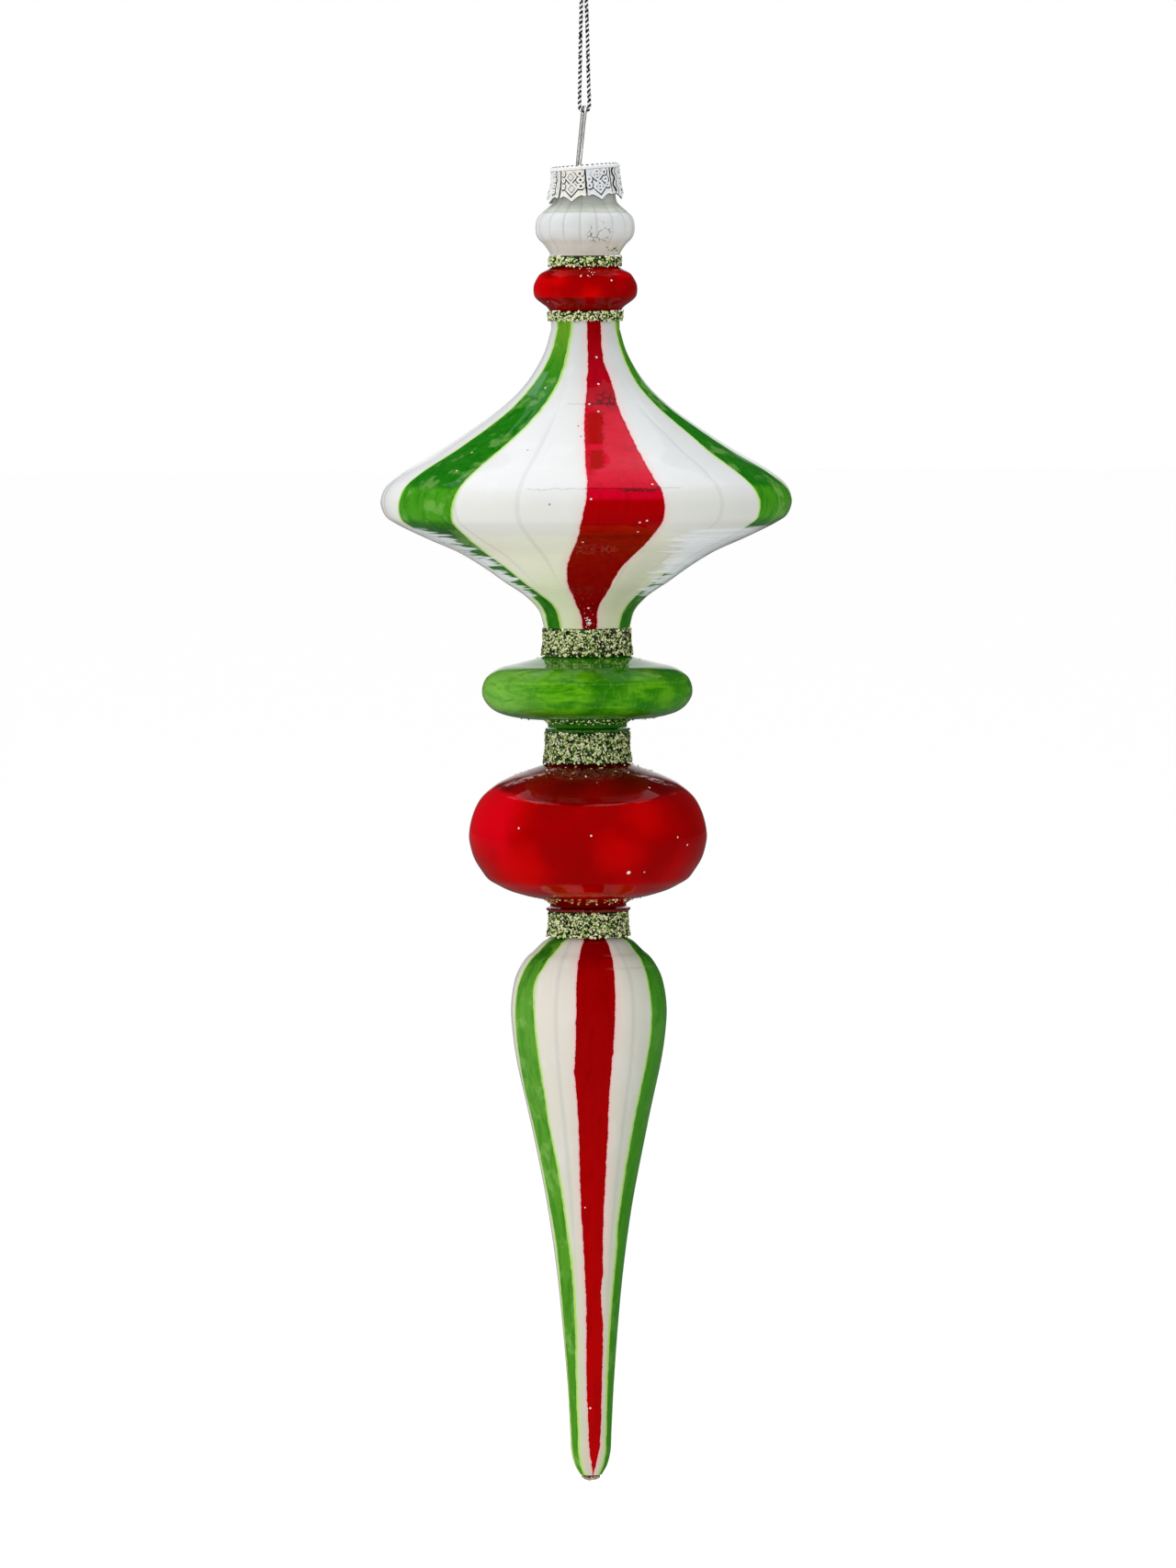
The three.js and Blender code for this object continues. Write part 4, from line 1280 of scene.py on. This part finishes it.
PETAL_MARKS = {
    "R": [
        (-0.4, 2.7, 1.25, 1.3, "d"), (-0.2, 5.4, 1.25, 1.3, "d"), (-0.4, 2.7, 0.4, 0.42, "D"),
        (-0.2, 5.4, 0.4, 0.42, "D"), (-2.4, 1.9, 0.3, 0.34, "O"), (-2.4, 3.35, 0.3, 0.34, "O"),
        (-2.35, 4.85, 0.3, 0.34, "O"), (1.9, 2.0, 0.6, 0.5, "e"), (1.95, 3.45, 0.6, 0.5, "e"),
        (2.0, 4.9, 0.6, 0.5, "e"),
    ],
    "D": [
        (-0.4, 2.5, 1.25, 1.3, "d"), (0.0, 5.3, 1.3, 1.35, "d"), (-0.4, 2.5, 0.4, 0.4, "e"),
        (0.0, 5.3, 0.42, 0.42, "e"), (-2.4, 3.5, 0.5, 0.55, "o"), (-2.4, 4.9, 0.45, 0.5, "e"),
        (1.5, 2.0, 0.5, 0.5, "e"), (1.7, 3.7, 0.55, 0.5, "o"), (2.1, 5.0, 0.4, 0.4, "O"),
    ],
    "S": [(0.9, down, 0.4, 0.4, "O") for down in (1.8, 3.1, 4.4, 5.7)],
}


def highest(values, *others):
    for other in others:
        values = np.maximum(values, other)
    return values


def petal_relief(kind, u, v):
    """How far the pressed pattern stands out, or lies in a dark hollow below 0, across a petal and down the cap. The
    dark includes painted shadows: outside each mark on its lower side and inside it on its upper side, as if lit from
    the upper left.
    """
    raised = dark = np.zeros(len(u))
    for at_u, at_v, half_u, half_v, shape in PETAL_MARKS[kind]:
        x, y = (u - at_u) / half_u, (v - at_v) / half_v
        diamond = shape in "dD"
        size = np.abs(x) + np.abs(y) if diamond else np.hypot(x, y)
        off = (size - 1) * min(half_u, half_v) * (DIAMOND_SLOPE if diamond else 1.0)
        low = 0.5 + 0.5 * (0.4 * x + y) / (np.abs(x) + np.abs(y) + 0.01)
        raised = highest(raised, ridge(off, LINE_WIDTH))
        outer, inner = ridge(off - PRESSED_SHADE, SHADE_WIDTH), ridge(off + PRESSED_SHADE, SHADE_WIDTH)
        dark = highest(dark, (0.05 + 0.95 * low) * outer, (0.95 - 0.75 * low) * inner)
        if shape in "DO":
            dark = highest(dark, ridge(size, 0.7))
        if shape == "e":
            dark = highest(dark, ridge(np.hypot(x, y - 0.5), 0.6))
    if kind == "S":
        side = u - 0.4 * np.sin(2.2 * v)
        raised = highest(raised, ridge(side + 1.5, 0.2), ridge(side + 0.6, 0.2))
        dark = highest(dark, ridge(side + 1.05, 0.22), ridge(side + 2.1, 0.3))
    return raised - dark * (1 - raised)


def cap_material():
    paint = Paint("stamped_foil")
    grain, fine = paint.noise(1.4, 3.0, 0.6), paint.noise(6.0, 2.0, 0.6)
    tint, relief = paint.given("tint", "relief")
    # Painted light and shade from the relief: raised lines bright as painted highlights, hollows dark as painted shadow
    # with oxide in them
    relief_shading_and_oxide = relief + fine.centred(0.4)
    paint.bump(fine, 0.25, 0.04)
    return paint.finish(paint.layered(
        (1.0, 0.96, 0.85),
        (tint, (0.93, 0.97, 1.0)),
        (grain.ease(0.4, 0.65, 0.2), (0.66, 0.7, 0.66)),
        (relief_shading_and_oxide.ease(-0.05, -0.5), (0.02, 0.022, 0.02)),
        (relief_shading_and_oxide.ease(0.35, 0.8), (1.0, 1.0, 0.99)),
    ), Metallic=0.12, Roughness=0.25)


def make_cap():
    columns = PETALS * PETAL_COLUMNS
    angles = ring_angles(columns)
    petal, place = np.divmod(np.arange(columns), PETAL_COLUMNS)
    share = 1 - np.minimum(place, PETAL_COLUMNS - place) / (PETAL_COLUMNS / 2)
    toward = np.maximum(0, 1 - share / POINT_SHARE)
    depth = SHOULDER_DEPTH + (POINT_DEPTH - SHOULDER_DEPTH) * toward**POINT_CURVE
    depth -= (SHOULDER_DEPTH - SLIT_DEPTH) * ridge(1 - share, SLIT_SHARE)
    depth -= WAIST_DEPTH * ridge(share - WAIST_SHARE, 0.12)
    across = (place / PETAL_COLUMNS - 0.5) * 2 * math.pi / PETALS * (CAP_OUTER + 0.3)
    flare = np.array(PETAL_FLARE)[petal]
    slit = ridge(1 - share, SLIT_SHADE)
    flute = np.cos(FLUTES * angles[0])
    edge = (1 - share) * HALF_PETAL

    def skirt(t):
        """How low and how far out the skirt is at a share of its length."""
        h = -RIM_HEIGHT - (depth - RIM_HEIGHT) * t
        return h, SKIRT_FLARE * (h / POINT_DEPTH) ** 2 + PETAL_BOW * (1 - share) + flare * (t**2)

    # The third number of each row is the relief that the foil's colour follows: painted highlights on the plate and the
    # rim, painted shade in the plate's rings, between the rim's flutes, under the rim, in the slits and crinkles and
    # along the petals' lower edges
    rows = [(CAP_HOLE, -CAP_SHEET, 0.0), (CAP_HOLE, -CAP_EDGE, 0.0), (CAP_HOLE + CAP_EDGE, 0.0, 0.0)]
    for r in np.linspace(PLATE_START, CAP_OUTER - RIM_ROUND, PLATE_ROWS):
        wave = sum(ridge(r - middle, width) for middle, width in CAP_RINGS)
        rows.append((r, -RING_DEPTH * wave, 0.5 - wave))
    for turn in np.linspace(0.1, 0.5 * math.pi, RIM_ROWS):
        swellout = math.sin(turn)
        out = CAP_OUTER - RIM_ROUND + (RIM_ROUND + RIM_STAND) * swellout + FLUTE_DEPTH * flute * swellout
        rows.append((out, RIM_ROUND * (math.cos(turn) - 1), 0.8 - 2.0 * (flute < 0.3) * (0.2 < turn < 0.8)))
    rows.append((CAP_OUTER + RIM_STAND + 0.06 * flute, -0.97 * RIM_HEIGHT, 0.3))
    rows.append((CAP_OUTER - 0.02, -RIM_HEIGHT - 0.06, -0.35))
    for t in np.linspace(0.015, 1.0, SKIRT_ROWS):
        h, out = skirt(t)
        mark = np.zeros(columns)
        for kind in set(PETAL_KINDS):
            chosen = np.array([PETAL_KINDS[k] == kind for k in petal])
            mark[chosen] = petal_relief(kind, across[chosen], -h[chosen])
        hem = 0.8 * ridge(depth + h - HEM, HEM_WIDTH) - 1.1 * ridge(depth + h, HEM_WIDTH)
        hem += 0.5 * ridge(edge - HEM, HEM_WIDTH)
        crinkle = ridge(edge - 0.75 - 0.22 * np.sin(-3.1 * h + petal), 0.2)
        crinkle += ridge(edge - 1.6 + 0.3 * np.sin(-2.3 * h), 0.22)
        crinkle = np.minimum(1, crinkle) * np.abs(np.sin(angles[0])) ** 5
        mark = np.clip(mark * (1 - crinkle) - crinkle + hem, -1, 1) * (1 - slit) - 1.6 * slit
        rows.append((CAP_OUTER + out + PRESSED_HEIGHT * np.maximum(mark, -1.0), h, mark))
    for t in np.linspace(1.0, 0.0, LINING_ROWS):
        h, out = skirt(t)
        rows.append((CAP_INNER + out - CAP_EDGE * slit, h, -0.2))
    rows.append((CAP_INNER, -CAP_SHEET, 0.0))
    radius, height, relief = (np.array([np.broadcast_to(row[k], columns) for row in rows]) for k in range(3))
    tilt = np.array(Matrix.Rotation(-CAP_TILT, 3, "Y"))
    vertices = around(radius, height, angles) * MM @ tilt.T + np.array((0, 0, -CAP_DROP * MM))
    made = mesh_object("stamped_cap", vertices, grid_faces(len(rows), columns, True), [cap_material()], 60)
    note(made, "relief", relief)
    note(made, "tint", np.broadcast_to(np.array(PETAL_TINTS)[petal], radius.shape))
    piece(made, "cap", "stamped_cap", "cap")


# Lamps: name, place, width, height, radiance

LAMP_COLOUR = (0.93, 0.97, 1.08)
LAMPS = [
    ("overhead", (0.0, 0.28, 0.8), 1.5, 0.85, 1.5),
    ("left_panel", (-1.15, -0.1, -0.1), 1.1, 1.1, 0.6),
    ("right_panel", (1.15, 0.3, -0.1), 0.5, 1.2, 0.45),
    ("low_fill", (-0.5, -1.6, -0.36), 1.8, 0.16, 1.6),
]
HIDDEN_IN_GLOSS = ("low_fill", "left_panel", "right_panel")


def light_scene():
    for name, place, wide, tall, radiance in LAMPS:
        data = bpy.data.lights.new(name, "AREA")
        data.shape = "RECTANGLE"
        data.color = LAMP_COLOUR
        data.size, data.size_y = wide, tall
        data.energy = radiance * math.pi * wide * tall
        lamp = bpy.data.objects.new(name, data)
        scene.collection.objects.link(lamp)
        lamp.location = place
        aim = Vector((0, 0, -1)) if name == "overhead" else Vector((0, 0, -0.2)) - Vector(place)
        lamp.rotation_euler = aim.to_track_quat("-Z", "Y").to_euler()
        lamp.visible_camera = False
        lamp.visible_glossy = name not in HIDDEN_IN_GLOSS


def build_world():
    """White all round for the camera, a lit window behind a dark room for mirrors, and soft light from the rest."""
    scene.world = bpy.data.worlds.new("studio")
    scene.world.use_nodes = True
    nodes = Nodes(scene.world.node_tree)
    way = nodes.node("TexCoord", "Generated")
    x, y, z = (nodes.node("SeparateXYZ", axis, {0: way}) for axis in "XYZ")
    window = abs(x).ease(*WINDOW_ACROSS) * abs(z - WINDOW_MIDDLE).ease(*WINDOW_UP) * y.over(0.0)
    seen, glossy = nodes.rays()
    toward = nodes.node("VectorMath", "Value", {0: way, 1: BRIGHTEST_WAY}, operation="DOT_PRODUCT")
    shown = seen.most(glossy * window.most(DARK_ROOM))
    rest = seen.most(glossy).below(0.5) * (toward * AMBIENT_LEAN + AMBIENT)
    nodes.background(Strength=shown + rest, Color=WHITE)


def build_floor():
    paint = Paint("floor")
    seen, glossy = paint.rays()
    tone = paint.mix(glossy, (FLOOR_TONE,) * 3, (FLOOR_GLOSS_TONE,) * 3)
    material = paint.finish(tone, Roughness=0.9, Emission_Color=WHITE, Emission_Strength=seen * FLOOR_GLOW)
    ways = np.array([(-1, -1, 0), (1, -1, 0), (1, 1, 0), (-1, 1, 0)])
    mesh_object("floor", ways * FLOOR_HALF + (0, 0, FLOOR_HEIGHT), [[0, 1, 2, 3]], [material])


scene.view_settings.view_transform = "Standard"
place_camera()
make_cords()
make_wire()
make_cap()
make_glass()
make_cement()
make_bands()
make_seal()
light_scene()
build_world()
build_floor()
